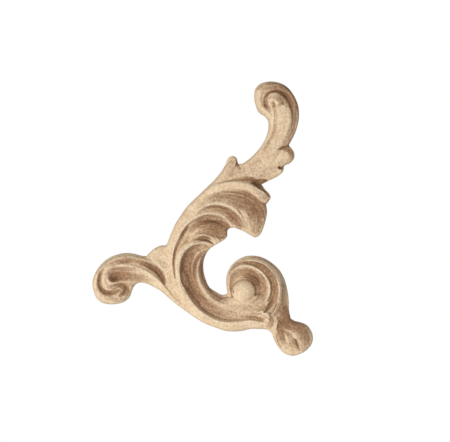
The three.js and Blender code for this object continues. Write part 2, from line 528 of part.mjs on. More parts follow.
// Samples of the rounded carving on a square grid. The distance from the edge only matters where
// the rounding reaches, so each step of the outline measures the samples around it alone.
function sampledSheet(edge) {
  const columns = Math.ceil((sheetRight - sheetLeft) / GRID) + 1;
  const rows = Math.ceil((sheetFoot - sheetTop) / GRID) + 1;
  const reach = EDGE_ROUND / SQUARE;
  const samples = [];
  for (let row = 0; row < rows; row++) {
    for (let column = 0; column < columns; column++) {
      samples.push({ x: sheetLeft + column * GRID, y: sheetTop + row * GRID,
        inside: false, fromEdge: reach, height: null });
    }
  }
  const between = (low, high, from, last) => [
    Math.max(0, Math.ceil((low - from) / GRID)), Math.min(last, Math.floor((high - from) / GRID))];
  edge.forEach(([ax, ay], i) => {
    const [bx, by] = edge[(i + 1) % edge.length];
    const step = [[ax, ay], [bx, by]];
    const [firstRow, lastRow] = between(
      Math.min(ay, by) - reach, Math.max(ay, by) + reach, sheetTop, rows - 1);
    const [firstColumn, lastColumn] = between(
      Math.min(ax, bx) - reach, Math.max(ax, bx) + reach, sheetLeft, columns - 1);
    for (let row = firstRow; row <= lastRow; row++) {
      for (let column = firstColumn; column <= lastColumn; column++) {
        const sample = samples[row * columns + column];
        const { distance } = nearestOn(step, sample.x, sample.y);
        sample.fromEdge = Math.min(sample.fromEdge, distance);
      }
      // Right of the outline, each row changes between inside and outside
      const y = sheetTop + row * GRID;
      if ((ay > y) === (by > y)) continue;
      const crossing = ax + (bx - ax) * (y - ay) / (by - ay);
      const from = Math.max(0, Math.floor((crossing - sheetLeft) / GRID) + 1);
      for (let column = from; column < columns; column++) {
        const sample = samples[row * columns + column];
        sample.inside = !sample.inside;
      }
    }
  });
  for (const sample of samples) {
    if (sample.inside) sample.height = roundedHeight(sample.x, sample.y, sample.fromEdge);
  }
  return { columns, rows, samples };
}

function triangleErrors(net, heights, sheet) {
  const found = [];
  for (const { corners } of net.triangles) {
    if (corners.some((corner) => corner < 3)) continue;
    const [a, b, c] = corners.map((corner) => net.points[corner]);
    const [ha, hb, hc] = corners.map((corner) => heights[corner]);
    const area = (b[0] - a[0]) * (c[1] - a[1]) - (b[1] - a[1]) * (c[0] - a[0]);
    const xs = [a[0], b[0], c[0]];
    const ys = [a[1], b[1], c[1]];
    const firstColumn = Math.max(0, Math.ceil((Math.min(...xs) - sheetLeft) / GRID));
    const lastColumn = Math.min(sheet.columns - 1, Math.floor((Math.max(...xs) - sheetLeft) / GRID));
    const firstRow = Math.max(0, Math.ceil((Math.min(...ys) - sheetTop) / GRID));
    const lastRow = Math.min(sheet.rows - 1, Math.floor((Math.max(...ys) - sheetTop) / GRID));
    let worst = null;
    for (let row = firstRow; row <= lastRow; row++) {
      for (let column = firstColumn; column <= lastColumn; column++) {
        const sample = sheet.samples[row * sheet.columns + column];
        if (sample.height === null || sample.fromEdge * SQUARE < 0.3) continue;
        const { x, y } = sample;
        const u = ((x - a[0]) * (c[1] - a[1]) - (y - a[1]) * (c[0] - a[0])) / area;
        const v = ((b[0] - a[0]) * (y - a[1]) - (b[1] - a[1]) * (x - a[0])) / area;
        if (u < 0 || v < 0 || u + v > 1) continue;
        const miss = Math.abs(ha + u * (hb - ha) + v * (hc - ha) - sample.height);
        const spare = Math.min(...[a, b, c].map((p) => Math.hypot(p[0] - x, p[1] - y)));
        if (spare < 0.8) continue;
        if (!worst || miss > worst.miss) worst = { miss, x, y, height: sample.height };
      }
    }
    if (worst) found.push(worst);
  }
  return found.sort((p, q) => q.miss - p.miss);
}

function frontNet(edge) {
  const sheet = sampledSheet(edge);
  const net = new Net(ORIGIN, sheetFoot - sheetTop);
  const heights = [GROUND, GROUND, GROUND];
  const wobble = (n) => 0.12 * Math.sin(12.9898 * n) * Math.cos(4.1414 * n);
  const put = (x, y, height) => {
    net.add(x, y);
    heights.push(height);
  };
  edge.forEach(([x, y]) => put(x, y, GROUND));
  const placed = edge.map(([x, y]) => [x, y]);
  const clear = (x, y, room) => placed.every((p) => Math.hypot(p[0] - x, p[1] - y) > room);
  const place = (x, y, room) => {
    if (!clear(x, y, room)) return;
    const fromEdge = insideDistance(edge, x, y);
    if (fromEdge * SQUARE < 0.4) return;
    placed.push([x, y]);
    put(x, y, roundedHeight(x, y, fromEdge));
  };
  // A row of points just inside the rounding of the edge
  edge.forEach(([x, y], i) => {
    const [px, py] = edge[(i + edge.length - 1) % edge.length];
    const [nx, ny] = edge[(i + 1) % edge.length];
    const length = Math.hypot(nx - px, ny - py);
    const inward = EDGE_ROUND * 0.7 / SQUARE;
    place(x - (ny - py) / length * inward, y + (nx - px) / length * inward, 1.5);
  });
  // The crests of the forms and the beds of the cuts
  for (const { line } of [...raised.slice(BEDS.length), ...cuts]) {
    for (const [x, y] of line) place(x + wobble(x), y + wobble(y), 2.2);
  }
  // A sparse fill
  for (let row = 0; row * FILL_DOWN < sheetFoot - sheetTop; row++) {
    const shift = (row % 2) * FILL_ACROSS / 2;
    for (let x = sheetLeft + shift; x < sheetRight; x += FILL_ACROSS) {
      const y = sheetTop + row * FILL_DOWN;
      place(x + wobble(x + y), y + wobble(x - y), 4);
    }
  }
  const wanted = Math.floor((FACETS - 4 * edge.length) / 2 + edge.length);
  while (heights.length - 3 < wanted) {
    const errors = triangleErrors(net, heights, sheet);
    const room = Math.min(wanted - (heights.length - 3), Math.ceil(errors.length * 0.12));
    const fresh = [];
    for (const { x, y, height } of errors) {
      if (fresh.length >= room) break;
      if (fresh.some((p) => Math.hypot(p[0] - x, p[1] - y) < 1.2)) continue;
      fresh.push([x, y]);
      const sx = x + wobble(x * 3 + y);
      const sy = y + wobble(y * 3 - x);
      put(sx, sy, roundedHeight(sx, sy, insideDistance(edge, sx, sy)));
    }
    if (!fresh.length) break;
  }
  return { net, heights };
}

function missingEdges(net, count) {
  const sides = new Set();
  for (const { corners: [a, b, c] } of net.triangles) {
    for (const [from, to] of [[a, b], [b, c], [c, a]]) {
      sides.add(`${Math.min(from, to)},${Math.max(from, to)}`);
    }
  }
  const missing = [];
  for (let i = 0; i < count; i++) {
    const from = 3 + i;
    const to = 3 + (i + 1) % count;
    if (!sides.has(`${Math.min(from, to)},${Math.max(from, to)}`)) missing.push(i);
  }
  return missing;
}

// The outline with the named steps halved
function halvedAt(edge, steps) {
  return edge.flatMap((point, i) => {
    if (!steps.includes(i)) return [point];
    const next = edge[(i + 1) % edge.length];
    return [point, [(point[0] + next[0]) / 2, (point[1] + next[1]) / 2]];
  });
}

// The outline with every step short enough for a net over the outline alone to keep it
function keptByNet(edge) {
  const net = new Net(ORIGIN, sheetFoot - sheetTop);
  edge.forEach(([x, y]) => net.add(x, y));
  const gaps = missingEdges(net, edge.length);
  return gaps.length ? keptByNet(halvedAt(edge, gaps)) : edge;
}

function buildSolid() {
  let edge = keptByNet(thinned(closely));
  let front = frontNet(edge);
  let gaps = missingEdges(front.net, edge.length);
  while (gaps.length) {
    edge = halvedAt(edge, gaps);
    front = frontNet(edge);
    gaps = missingEdges(front.net, edge.length);
  }
  const { net, heights } = front;

  const place = ([x, y], height) => [
    (x - ORIGIN[0]) * SQUARE, -height * RELIEF, (ORIGIN[1] - y) * SQUARE];
  const positions = net.points.slice(3).map((point, i) => place(point, heights[i + 3]));
  const backStart = positions.length;
  for (const point of edge) positions.push(place(point, 0));

  const index = [];
  const turn = (a, b, c) => (b[0] - a[0]) * (c[1] - a[1]) - (b[1] - a[1]) * (c[0] - a[0]);
  for (const { corners } of net.triangles) {
    if (corners.some((corner) => corner < 3)) continue;
    const [a, b, c] = corners.map((corner) => net.points[corner]);
    if (insideDistance(edge, (a[0] + b[0] + c[0]) / 3, (a[1] + b[1] + c[1]) / 3) < 0) continue;
    const [i, j, k] = corners.map((corner) => corner - 3);
    if (turn(a, b, c) < 0) index.push(i, j, k);
    else index.push(i, k, j);
  }
  const clockwise = THREE.ShapeUtils.area(edge.map(([x, y]) => new THREE.Vector2(x, y))) > 0;
  edge.forEach((point, i) => {
    const next = (i + 1) % edge.length;
    const quad = [i, next, backStart + next, backStart + i];
    if (clockwise) quad.reverse();
    index.push(quad[0], quad[2], quad[1], quad[0], quad[3], quad[2]);
  });
  const backFaces = THREE.ShapeUtils.triangulateShape(
    edge.map(([x, y]) => new THREE.Vector2(x, y)), []);
  for (const [a, b, c] of backFaces) {
    if (turn(edge[a], edge[b], edge[c]) > 0) index.push(backStart + a, backStart + b, backStart + c);
    else index.push(backStart + a, backStart + c, backStart + b);
  }

  const geometry = new THREE.BufferGeometry();
  geometry.setAttribute('position', new THREE.Float32BufferAttribute(positions.flat(), 3));
  geometry.setIndex(index);
  geometry.computeVertexNormals();
  return geometry;
}

const pulp = new THREE.MeshStandardMaterial({ color: 0xc9a983, roughness: 0.9, metalness: 0 });
const applique = new THREE.Mesh(buildSolid(), pulp);
applique.name = 'applique';

const model = new THREE.Group();
model.name = 'wood_pulp_applique';
model.add(applique);

export default model;
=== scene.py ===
"""Scroll applique in pressed wood pulp, as it looks: one moulded piece with a crook, leaf lobes, a
C-scroll, a volute with its ball and knob, and a small volute on the left. The back is flat.

The drawing is kept in squares of the pattern sheet, x to the right and y down, as in the part's
source. Heights are shares of RELIEF, measured from the flat back. Lengths elsewhere are in metres.
"""

import math

import bpy
import numpy as np
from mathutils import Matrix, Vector
from mathutils.geometry import tessellate_polygon


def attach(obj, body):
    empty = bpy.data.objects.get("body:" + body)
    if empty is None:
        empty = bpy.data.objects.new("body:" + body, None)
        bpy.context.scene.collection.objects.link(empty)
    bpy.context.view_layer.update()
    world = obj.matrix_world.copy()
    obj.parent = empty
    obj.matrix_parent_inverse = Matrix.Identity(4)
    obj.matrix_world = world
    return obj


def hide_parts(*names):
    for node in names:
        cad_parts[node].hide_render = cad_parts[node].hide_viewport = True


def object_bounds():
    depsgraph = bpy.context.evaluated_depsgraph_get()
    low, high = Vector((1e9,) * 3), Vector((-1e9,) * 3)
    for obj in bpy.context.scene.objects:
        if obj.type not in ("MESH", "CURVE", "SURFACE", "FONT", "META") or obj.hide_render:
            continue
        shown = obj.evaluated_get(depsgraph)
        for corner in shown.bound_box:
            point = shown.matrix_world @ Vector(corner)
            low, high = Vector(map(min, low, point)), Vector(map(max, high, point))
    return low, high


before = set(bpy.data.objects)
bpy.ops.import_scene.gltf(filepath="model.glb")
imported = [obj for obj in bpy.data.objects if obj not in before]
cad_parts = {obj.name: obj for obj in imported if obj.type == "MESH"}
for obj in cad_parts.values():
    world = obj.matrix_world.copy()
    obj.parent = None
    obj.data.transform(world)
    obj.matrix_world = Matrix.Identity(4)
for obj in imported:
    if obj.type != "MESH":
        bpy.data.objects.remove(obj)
cad_low, cad_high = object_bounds()

# Sizes of the carving, as in the part's source: back to a crest of height 1, upright edge, and how far in
# from the edge the rounding reaches
RELIEF = 0.0095
WALL = 0.0029
EDGE_ROUND = 0.0012

# Height of the ground between the forms, and heights over which two forms or two beds run together
GROUND = WALL / RELIEF
FORM_BLEND = 0.025
BED_BLEND = 0.04

# The outline, clockwise. Each run is a smooth line that starts, at a corner, where the one before ends.
OUTLINE = {
    "crook": [
        (241.6, 163), (246.6, 160), (254.1, 153.4), (261.5, 144.2), (266.1, 135.2), (268.2, 126.3),
        (267.8, 120.2), (264.9, 115.8), (258.8, 111.6), (254.9, 102.8), (253.8, 93.7), (254.5, 89),
        (259.2, 83.5), (266.6, 81), (275.9, 81.2), (285.3, 85.2), (293.6, 95), (298, 106.2), (298.5, 117.4),
        (295.4, 130.8), (288.4, 144.8)],
    "lobe_1": [
        (291.9, 148.6), (293.9, 152.6), (293.6, 157.8), (289.2, 162.8), (284.3, 165.1), (283.3, 166.6)],
    "lobe_2": [(283, 170.4), (279.9, 173.9), (272.5, 178.1), (264.5, 182), (261.2, 184)],
    "tongue": [(265.1, 189.3), (269.5, 194), (270.3, 196.8), (269, 199.7), (265.7, 203.8)],
    "shell": [
        (266.6, 210.8), (265.7, 217.8), (263.4, 226), (261.1, 231.9), (257.9, 235.7), (254.7, 236.9),
        (250, 234.8), (244.9, 231.8), (238.4, 228.8), (232.4, 227.3), (228.5, 228.2), (226.7, 230.6)],
    "inside": [
        (226.6, 236), (222.6, 240.1), (216.6, 243.6), (211.4, 246.7), (207.6, 250.3), (204.8, 255.1),
        (202.9, 261.7), (202.9, 270.3), (205, 278.8), (209.1, 287.3), (214.9, 291.4), (223.2, 294.8),
        (227, 293.5)],
    "volute": [
        (226.1, 287.5), (226.2, 275.4), (229.8, 266.8), (236.2, 260.3), (243.9, 256.3), (252.3, 255.3),
        (260.7, 256.7), (270.5, 261.8), (279.4, 270.1), (284.4, 279.6), (286.9, 289), (288.4, 300),
        (288.8, 311), (290.4, 318.4)],
    "knob": [
        (294.1, 320.7), (301, 322.5), (307.7, 325.9), (311.3, 331.5), (312.7, 338.2), (310.7, 344.7),
        (306, 350), (299.7, 353.7), (291.9, 355.5), (284.3, 353.2), (278.3, 347.3), (274, 340.2),
        (271.9, 333.5)],
    "under": [
        (267.7, 329.9), (257.2, 328.7), (250.2, 328.7), (243.2, 330.3), (234.7, 331.2), (225.6, 330.6),
        (215.1, 327.3), (204.6, 323.2), (193.7, 316.8), (186.3, 311.5), (179.3, 306.6), (171.1, 300),
        (165.3, 295.1), (159.4, 290), (153.6, 287), (147.9, 284), (142.4, 282.3), (136.8, 283),
        (133.1, 286.2), (130.8, 291.1), (128.6, 297.1), (124, 301.3), (116.8, 303.5), (109.3, 304),
        (101.3, 302.3), (95.6, 297.4), (92.8, 290.2), (91.6, 282.8), (93.3, 275.5), (96.7, 268.8),
        (101.8, 262.6), (108, 257.6), (116.5, 254.1), (125, 252.6), (132.7, 253.3), (139.8, 255.2),
        (145.4, 255.9)],
    "cusp": [(149.6, 251.6), (155, 247.3), (160, 245.2), (165, 244.6), (166.3, 243.8)],
    "back": [
        (170.6, 232.6), (175.3, 222.4), (180.2, 215), (185.4, 207.4), (192, 200.4), (198.9, 193.9),
        (206, 187), (214.6, 178.4), (221.4, 170), (225, 163.5), (227.4, 157.8), (231.5, 155.2), (235.8, 157),
        (237.1, 160.8), (238, 163.5)],
}

# Low broad fillings under the carving. Stations: x, y, height, left width, right width. A station that
# leaves out its last numbers keeps those of the one before it, here and in the forms and cuts below.
BEDS = {
    "leaf_bed": [
        (196, 228, 0.5, 16, 16), (214, 222, 0.5, 17, 18), (236, 212, 0.54, 18, 20), (250, 212, 0.52, 16, 24)],
    "neck_bed": [
        (215, 190, 0.46, 14, 8), (240, 176, 0.46, 12, 14), (262, 162, 0.48, 14, 16), (276, 150, 0.52, 14, 12),
        (283, 132, 0.56, 12, 14), (281, 112, 0.62, 16, 16), (272, 101, 0.64, 17, 17)],
    "scroll_bed": [
        (196, 250, 0.38, 16, 12), (190, 270, 0.38, 12, 16), (198, 292, 0.38, 14), (220, 308, 0.38, 16),
        (250, 312, 0.42, 18, 14), (272, 318, 0.5, 16, 16), (288, 334, 0.46, 20, 20)],
    "volute_bed": [(250, 288, 0.44, 36, 36), (256, 290, 0.44)],
    "arm_bed": [
        (178, 298, 0.44, 10, 10), (164, 280, 0.5, 16, 12), (150, 268, 0.56, 16, 14), (138, 267, 0.58, 15, 15),
        (126, 272, 0.6, 22, 20), (116, 278, 0.6, 26, 25), (113, 280, 0.6, 26, 26)],
}

# The raised forms, each drawn along its crest: the sections of its left and right sides, the heights of
# its left and right feet, and its stations (x, y, crest, width to the left foot, to the right foot).
FORMS = {
    "stem": ("round", "dome", 0.3, 0.42, [
        (172, 300, 0.62, 9, 12), (168, 285, 0.66, 10), (168.5, 272, 0.66), (169.5, 262, 0.66, 9),
        (171.5, 250, 0.66, 6.4), (175.5, 237, 0.66, 5.8), (181.5, 223.5, 0.66, 5.8, 13),
        (190, 211, 0.66, 5.8, 14), (201, 200, 0.66, 5.8, 16), (212, 189.5, 0.64, 5.2),
        (220.5, 179.5, 0.6, 4.8, 10), (227.5, 169, 0.54, 4.2, 6), (231.6, 160.5, 0.46, 4.2, 4.4)]),
    "leaf_rib": ("slope", "hollow", 0.48, 0.42, [
        (173.8, 278, 0.72, 9, 1), (172.4, 261, 0.74, 9, 1.6), (173.2, 252, 0.77, 9, 2.4),
        (175.5, 243.5, 0.8, 9, 3.2), (178.8, 236.5, 0.82, 10, 4), (183, 229, 0.85, 12, 5),
        (188, 222.4, 0.87, 14, 5.5), (194.8, 217.8, 0.88), (201.8, 214.6, 0.87, 12, 6),
        (210.3, 213.3, 0.84, 9.5, 6.5), (218, 214.6, 0.79, 9), (224.3, 217.6, 0.72, 9.5, 5.5),
        (228, 221.2, 0.65, 9.5, 4.5), (230.5, 225.5, 0.54, 10, 3)]),
    "shell": ("slope", "hollow", 0.5, 0.46, [
        (190, 219, 0.8, 12, 9), (197, 211.5, 0.84, 13, 8), (205, 206, 0.87, 15, 4.5), (212, 204, 0.89, 16, 3),
        (218, 203.8, 0.9, 17, 2.6), (224, 205.2, 0.9, 18, 2.5), (230, 207.7, 0.89, 21), (236, 212, 0.86, 25),
        (240.4, 217.2, 0.82, 28), (243.3, 222.6, 0.76), (245.6, 228.6, 0.66, 24), (247, 233, 0.56, 18)]),
    "tongue": ("soft", "soft", 0.4, 0.46, [
        (200, 203, 0.66, 8, 8), (208, 194, 0.74, 7), (217, 187.4, 0.78, 6.5, 7), (227, 184.8, 0.8, 6),
        (237, 184.4, 0.8, 5.6, 7.4), (246, 186.2, 0.78), (254, 190, 0.72, 6.4, 7.2),
        (260.8, 194.6, 0.64, 6.4, 7), (265, 198.8, 0.54, 5, 5)]),
    "scroll": ("wall", "round", 0.34, 0.3, [
        (211, 244.6, 0.58, 4, 2), (205, 243, 0.65, 4.4, 3), (198, 242.9, 0.7, 5, 4), (191, 245.2, 0.75, 7, 6),
        (185.6, 249.4, 0.78, 8, 7), (181.8, 255.4, 0.8, 8, 8), (179.6, 263, 0.8, 8, 9),
        (179.3, 272, 0.8, 8, 11), (180.8, 281, 0.8, 8.4, 12), (185.4, 290.4, 0.8, 9), (191, 299.8, 0.8),
        (198.8, 308.6, 0.8, 9, 11.4), (208.4, 315.4, 0.8, 8.6, 12), (218.6, 320, 0.8, 8, 12.4),
        (229.1, 321.4, 0.8, 7, 12), (239.6, 320.6, 0.77, 6, 10.6), (249.6, 319.4, 0.73, 5, 9.8),
        (257, 320.6, 0.7, 4, 9), (264, 321.6, 0.66), (270, 322.6, 0.62)]),
    "ring": ("slope", "wall", 0.26, 0.42, [
        (207, 249.8, 0.52, 3, 3), (202.4, 254.2, 0.57, 4, 6), (198.6, 261.4, 0.61, 5, 7),
        (197.2, 270, 0.64, 5.6, 8), (198.4, 278.6, 0.67, 6.2, 9), (202, 286.4, 0.71, 7, 9.6),
        (207.4, 293.8, 0.74, 7.4, 10), (215, 300.2, 0.77, 8.2, 11), (224, 303, 0.78, 8),
        (234, 304.2, 0.78, 6, 10)]),
    "band": ("dome", "slope", 0.58, 0.46, [
        (210, 300, 0.56, 3, 11), (217, 302.4, 0.68, 4, 13.4), (225, 304.2, 0.75, 7, 14.6),
        (234, 305.2, 0.78, 9, 15.4), (243, 305.8, 0.79, 10, 17), (252, 305.4, 0.78, 10, 20),
        (260, 303, 0.77, 9)]),
    "volute_rim": ("hollow", "slope", 0.4, 0.44, [
        (258, 305.6, 0.76, 5, 3), (263.4, 301.6, 0.79, 9), (267.2, 296.6, 0.81, 13), (269.2, 290, 0.81, 14),
        (268.4, 282.5, 0.81), (264.6, 275.6, 0.81), (258.6, 269.6, 0.8, 13), (251.2, 265.8, 0.78, 12),
        (243.5, 264.8, 0.75, 11), (236.2, 267, 0.69, 9), (230.8, 273.2, 0.63, 6, 3.5),
        (228.8, 281, 0.59, 4, 3.6), (228.8, 289, 0.57, 3.4), (230.6, 295, 0.58)]),
    "groove_floor": ("soft", "soft", 0.44, 0.44, [
        (247, 262.6, 0.5, 3, 3), (255, 264.4, 0.55, 4, 4), (262.6, 267.8, 0.6, 5, 5), (269, 272.6, 0.62),
        (273.4, 280, 0.63), (274.4, 288, 0.63), (273.4, 296, 0.61), (269.6, 304, 0.57)]),
    "tendril": ("slope", "wall", 0.3, 0.42, [
        (233, 269, 0.5, 5, 2), (238.5, 263, 0.56, 5, 3), (246, 259.9, 0.64, 4.4, 3.5),
        (254, 260.2, 0.71, 4.8), (261.1, 262.4, 0.76, 5.6), (267.7, 266.7, 0.79, 6.8), (273.2, 274, 0.8, 8),
        (277.4, 281.9, 0.8, 8.6), (278.6, 289, 0.8, 9.2), (278, 297, 0.79, 10.6, 3.8),
        (276.4, 304.5, 0.76, 13, 4.4), (272.8, 311.5, 0.72, 17, 5), (266.8, 316.6, 0.68, 20)]),
    "curl": ("dome", "dome", 0.44, 0.44, [
        (257, 311.6, 0.79, 3, 3.6), (260.8, 310.8, 0.83, 3.6, 4), (264.8, 312.2, 0.84, 4, 4.2),
        (268, 315.6, 0.77, 4, 4.6)]),
    "stalk": ("dome", "dome", 0.3, 0.36, [
        (264, 322, 0.58, 8, 8), (270, 324, 0.6, 9), (276, 325, 0.62), (286, 329, 0.6, 10, 14)]),
    "ball": ("round", "round", 0.4, 0.4, [(242.6, 291.4, 0.96, 11.6, 11.6), (243.4, 290.8, 0.96)]),
    "knob": ("round", "round", 0.24, 0.24, [(292.2, 337.6, 0.8, 21, 21), (292.8, 338, 0.8)]),
    "knob_ridge": ("wall", "dome", 0.5, 0.5, [
        (293.8, 335.2, 0.79, 1, 1.4), (296.2, 336.8, 0.84, 1.6, 2.4), (298.2, 339.6, 0.86, 1.8, 2.8),
        (299.6, 343.4, 0.84, 1.8, 3), (300.6, 347, 0.77), (301.4, 350.4, 0.68, 1.6, 2)]),
    "lip": ("hollow", "slope", 0.46, 0.46, [
        (190.5, 231.4, 0.55, 2.6, 4), (195.5, 227.4, 0.58, 3.4, 7), (201.6, 224.8, 0.59, 3.6, 9),
        (208, 223.8, 0.58, 3.6, 10), (214, 224.8, 0.56), (220, 228, 0.53, 3.6, 8)]),
    "lip_rib": ("hollow", "hollow", 0.46, 0.44, [
        (188.6, 240.6, 0.62, 2.6, 4), (192.4, 237, 0.65, 3.6, 4.6), (197.6, 234.8, 0.66, 4),
        (203, 234.4, 0.65, 4, 4.4), (208.5, 235.6, 0.62, 4, 4), (213.5, 239, 0.58, 4, 3.5),
        (216.4, 243, 0.54, 4, 3)]),
    "crook": ("soft", "soft", 0.38, 0.34, [
        (234, 186, 0.5, 12, 6), (244, 178, 0.56, 15, 8), (254, 170, 0.62, 17, 12), (264, 160.5, 0.66),
        (272.5, 148.5, 0.69, 17, 10), (278, 137, 0.72, 17, 9.5), (280.6, 125, 0.74, 16.5, 10),
        (281.4, 114, 0.75, 16, 9.5), (280.6, 106, 0.75, 13, 8), (277.4, 100.4, 0.74, 9, 9),
        (273.2, 98.8, 0.73, 5.6, 7.2), (271.6, 99.4, 0.72, 4, 5.4)]),
    "crook_rim": ("round", "ogee", 0.3, 0.52, [
        (292, 130, 0.4, 3, 4), (294, 121, 0.44, 3, 3), (294.8, 112, 0.5, 3, 2.8),
        (294.4, 105, 0.54, 3.2, 2.6), (292.4, 98, 0.58, 3.6, 2.8), (286.8, 90.6, 0.63, 4.4, 3.2),
        (278.8, 86.4, 0.66, 5, 3.8), (270.5, 85.4, 0.68, 5, 5), (263, 87.4, 0.69, 5.5, 5.5),
        (258.4, 93.4, 0.69, 5.2, 4.4), (258.2, 101, 0.69, 5, 4), (260.4, 106.6, 0.69, 4.4, 5),
        (264.6, 110.8, 0.69, 4, 6), (270, 115, 0.68)]),
    "crook_side": ("soft", "slope", 0.5, 0.26, [
        (277, 150.6, 0.63, 14, 9), (281.8, 141, 0.68, 15, 10.6), (286, 132, 0.71, 16, 11),
        (289, 120.7, 0.72, 16, 10), (290, 111, 0.69, 10, 9), (290.4, 104, 0.6, 3, 5)]),
    "frond": ("dome", "dome", 0.3, 0.3, [
        (226, 182, 0.54, 9, 4), (240, 174.5, 0.56, 9, 6), (255, 168, 0.58, 10, 13), (268, 163, 0.58, 13, 16),
        (279, 158.5, 0.56, 14, 12), (286.5, 155, 0.54, 10, 9)]),
    "frond_toe": ("dome", "dome", 0.3, 0.3, [
        (262, 172, 0.54, 8, 11), (271, 171, 0.54, 8, 10), (277.5, 169.5, 0.5, 7, 7)]),
    "arm_rib": ("dome", "hollow", 0.4, 0.52, [
        (188, 311, 0.5, 5, 3), (177, 300.5, 0.62, 5, 4), (168, 290.5, 0.68, 7), (159.6, 280.5, 0.71, 9.5),
        (150.8, 273.4, 0.73, 11.5), (142, 268.2, 0.72, 12, 4.4), (132, 265, 0.71, 10, 5),
        (121, 264.2, 0.7, 8.4), (111, 267, 0.7, 7, 4.6), (104.2, 273.2, 0.7, 5.6, 4),
        (103.4, 281.4, 0.69, 5.4), (105.6, 285.4, 0.68, 5), (111.4, 286.8, 0.67), (117, 286, 0.66, 4.4, 3),
        (120.6, 283.6, 0.63, 3, 2.4)]),
    "arm_rim": ("round", "ogee", 0.54, 0.36, [
        (156, 266, 0.58, 4, 8), (146, 260.2, 0.63, 4, 5), (137, 257.6, 0.65, 4, 4.4),
        (128, 256.2, 0.66, 4.4, 4), (120, 256.8, 0.66, 5), (111.8, 260, 0.66, 4.8, 4.4),
        (103.8, 266, 0.66, 4.6, 5), (97.6, 273.4, 0.66, 4.2), (94.8, 281, 0.66, 3.8), (95.6, 289, 0.66, 4),
        (99.4, 295.8, 0.66, 4.4, 6), (105.6, 299.6, 0.66, 5, 6.5), (112.5, 300.6, 0.66),
        (119.4, 298.8, 0.64, 5, 6), (124.4, 294.8, 0.62, 4, 5.5), (127.6, 289, 0.58)]),
    "cusp": ("soft", "soft", 0.4, 0.36, [
        (176, 282, 0.64, 13, 14), (170, 272, 0.62, 15), (164, 262, 0.6, 16), (159, 254, 0.56, 14, 12)]),
}

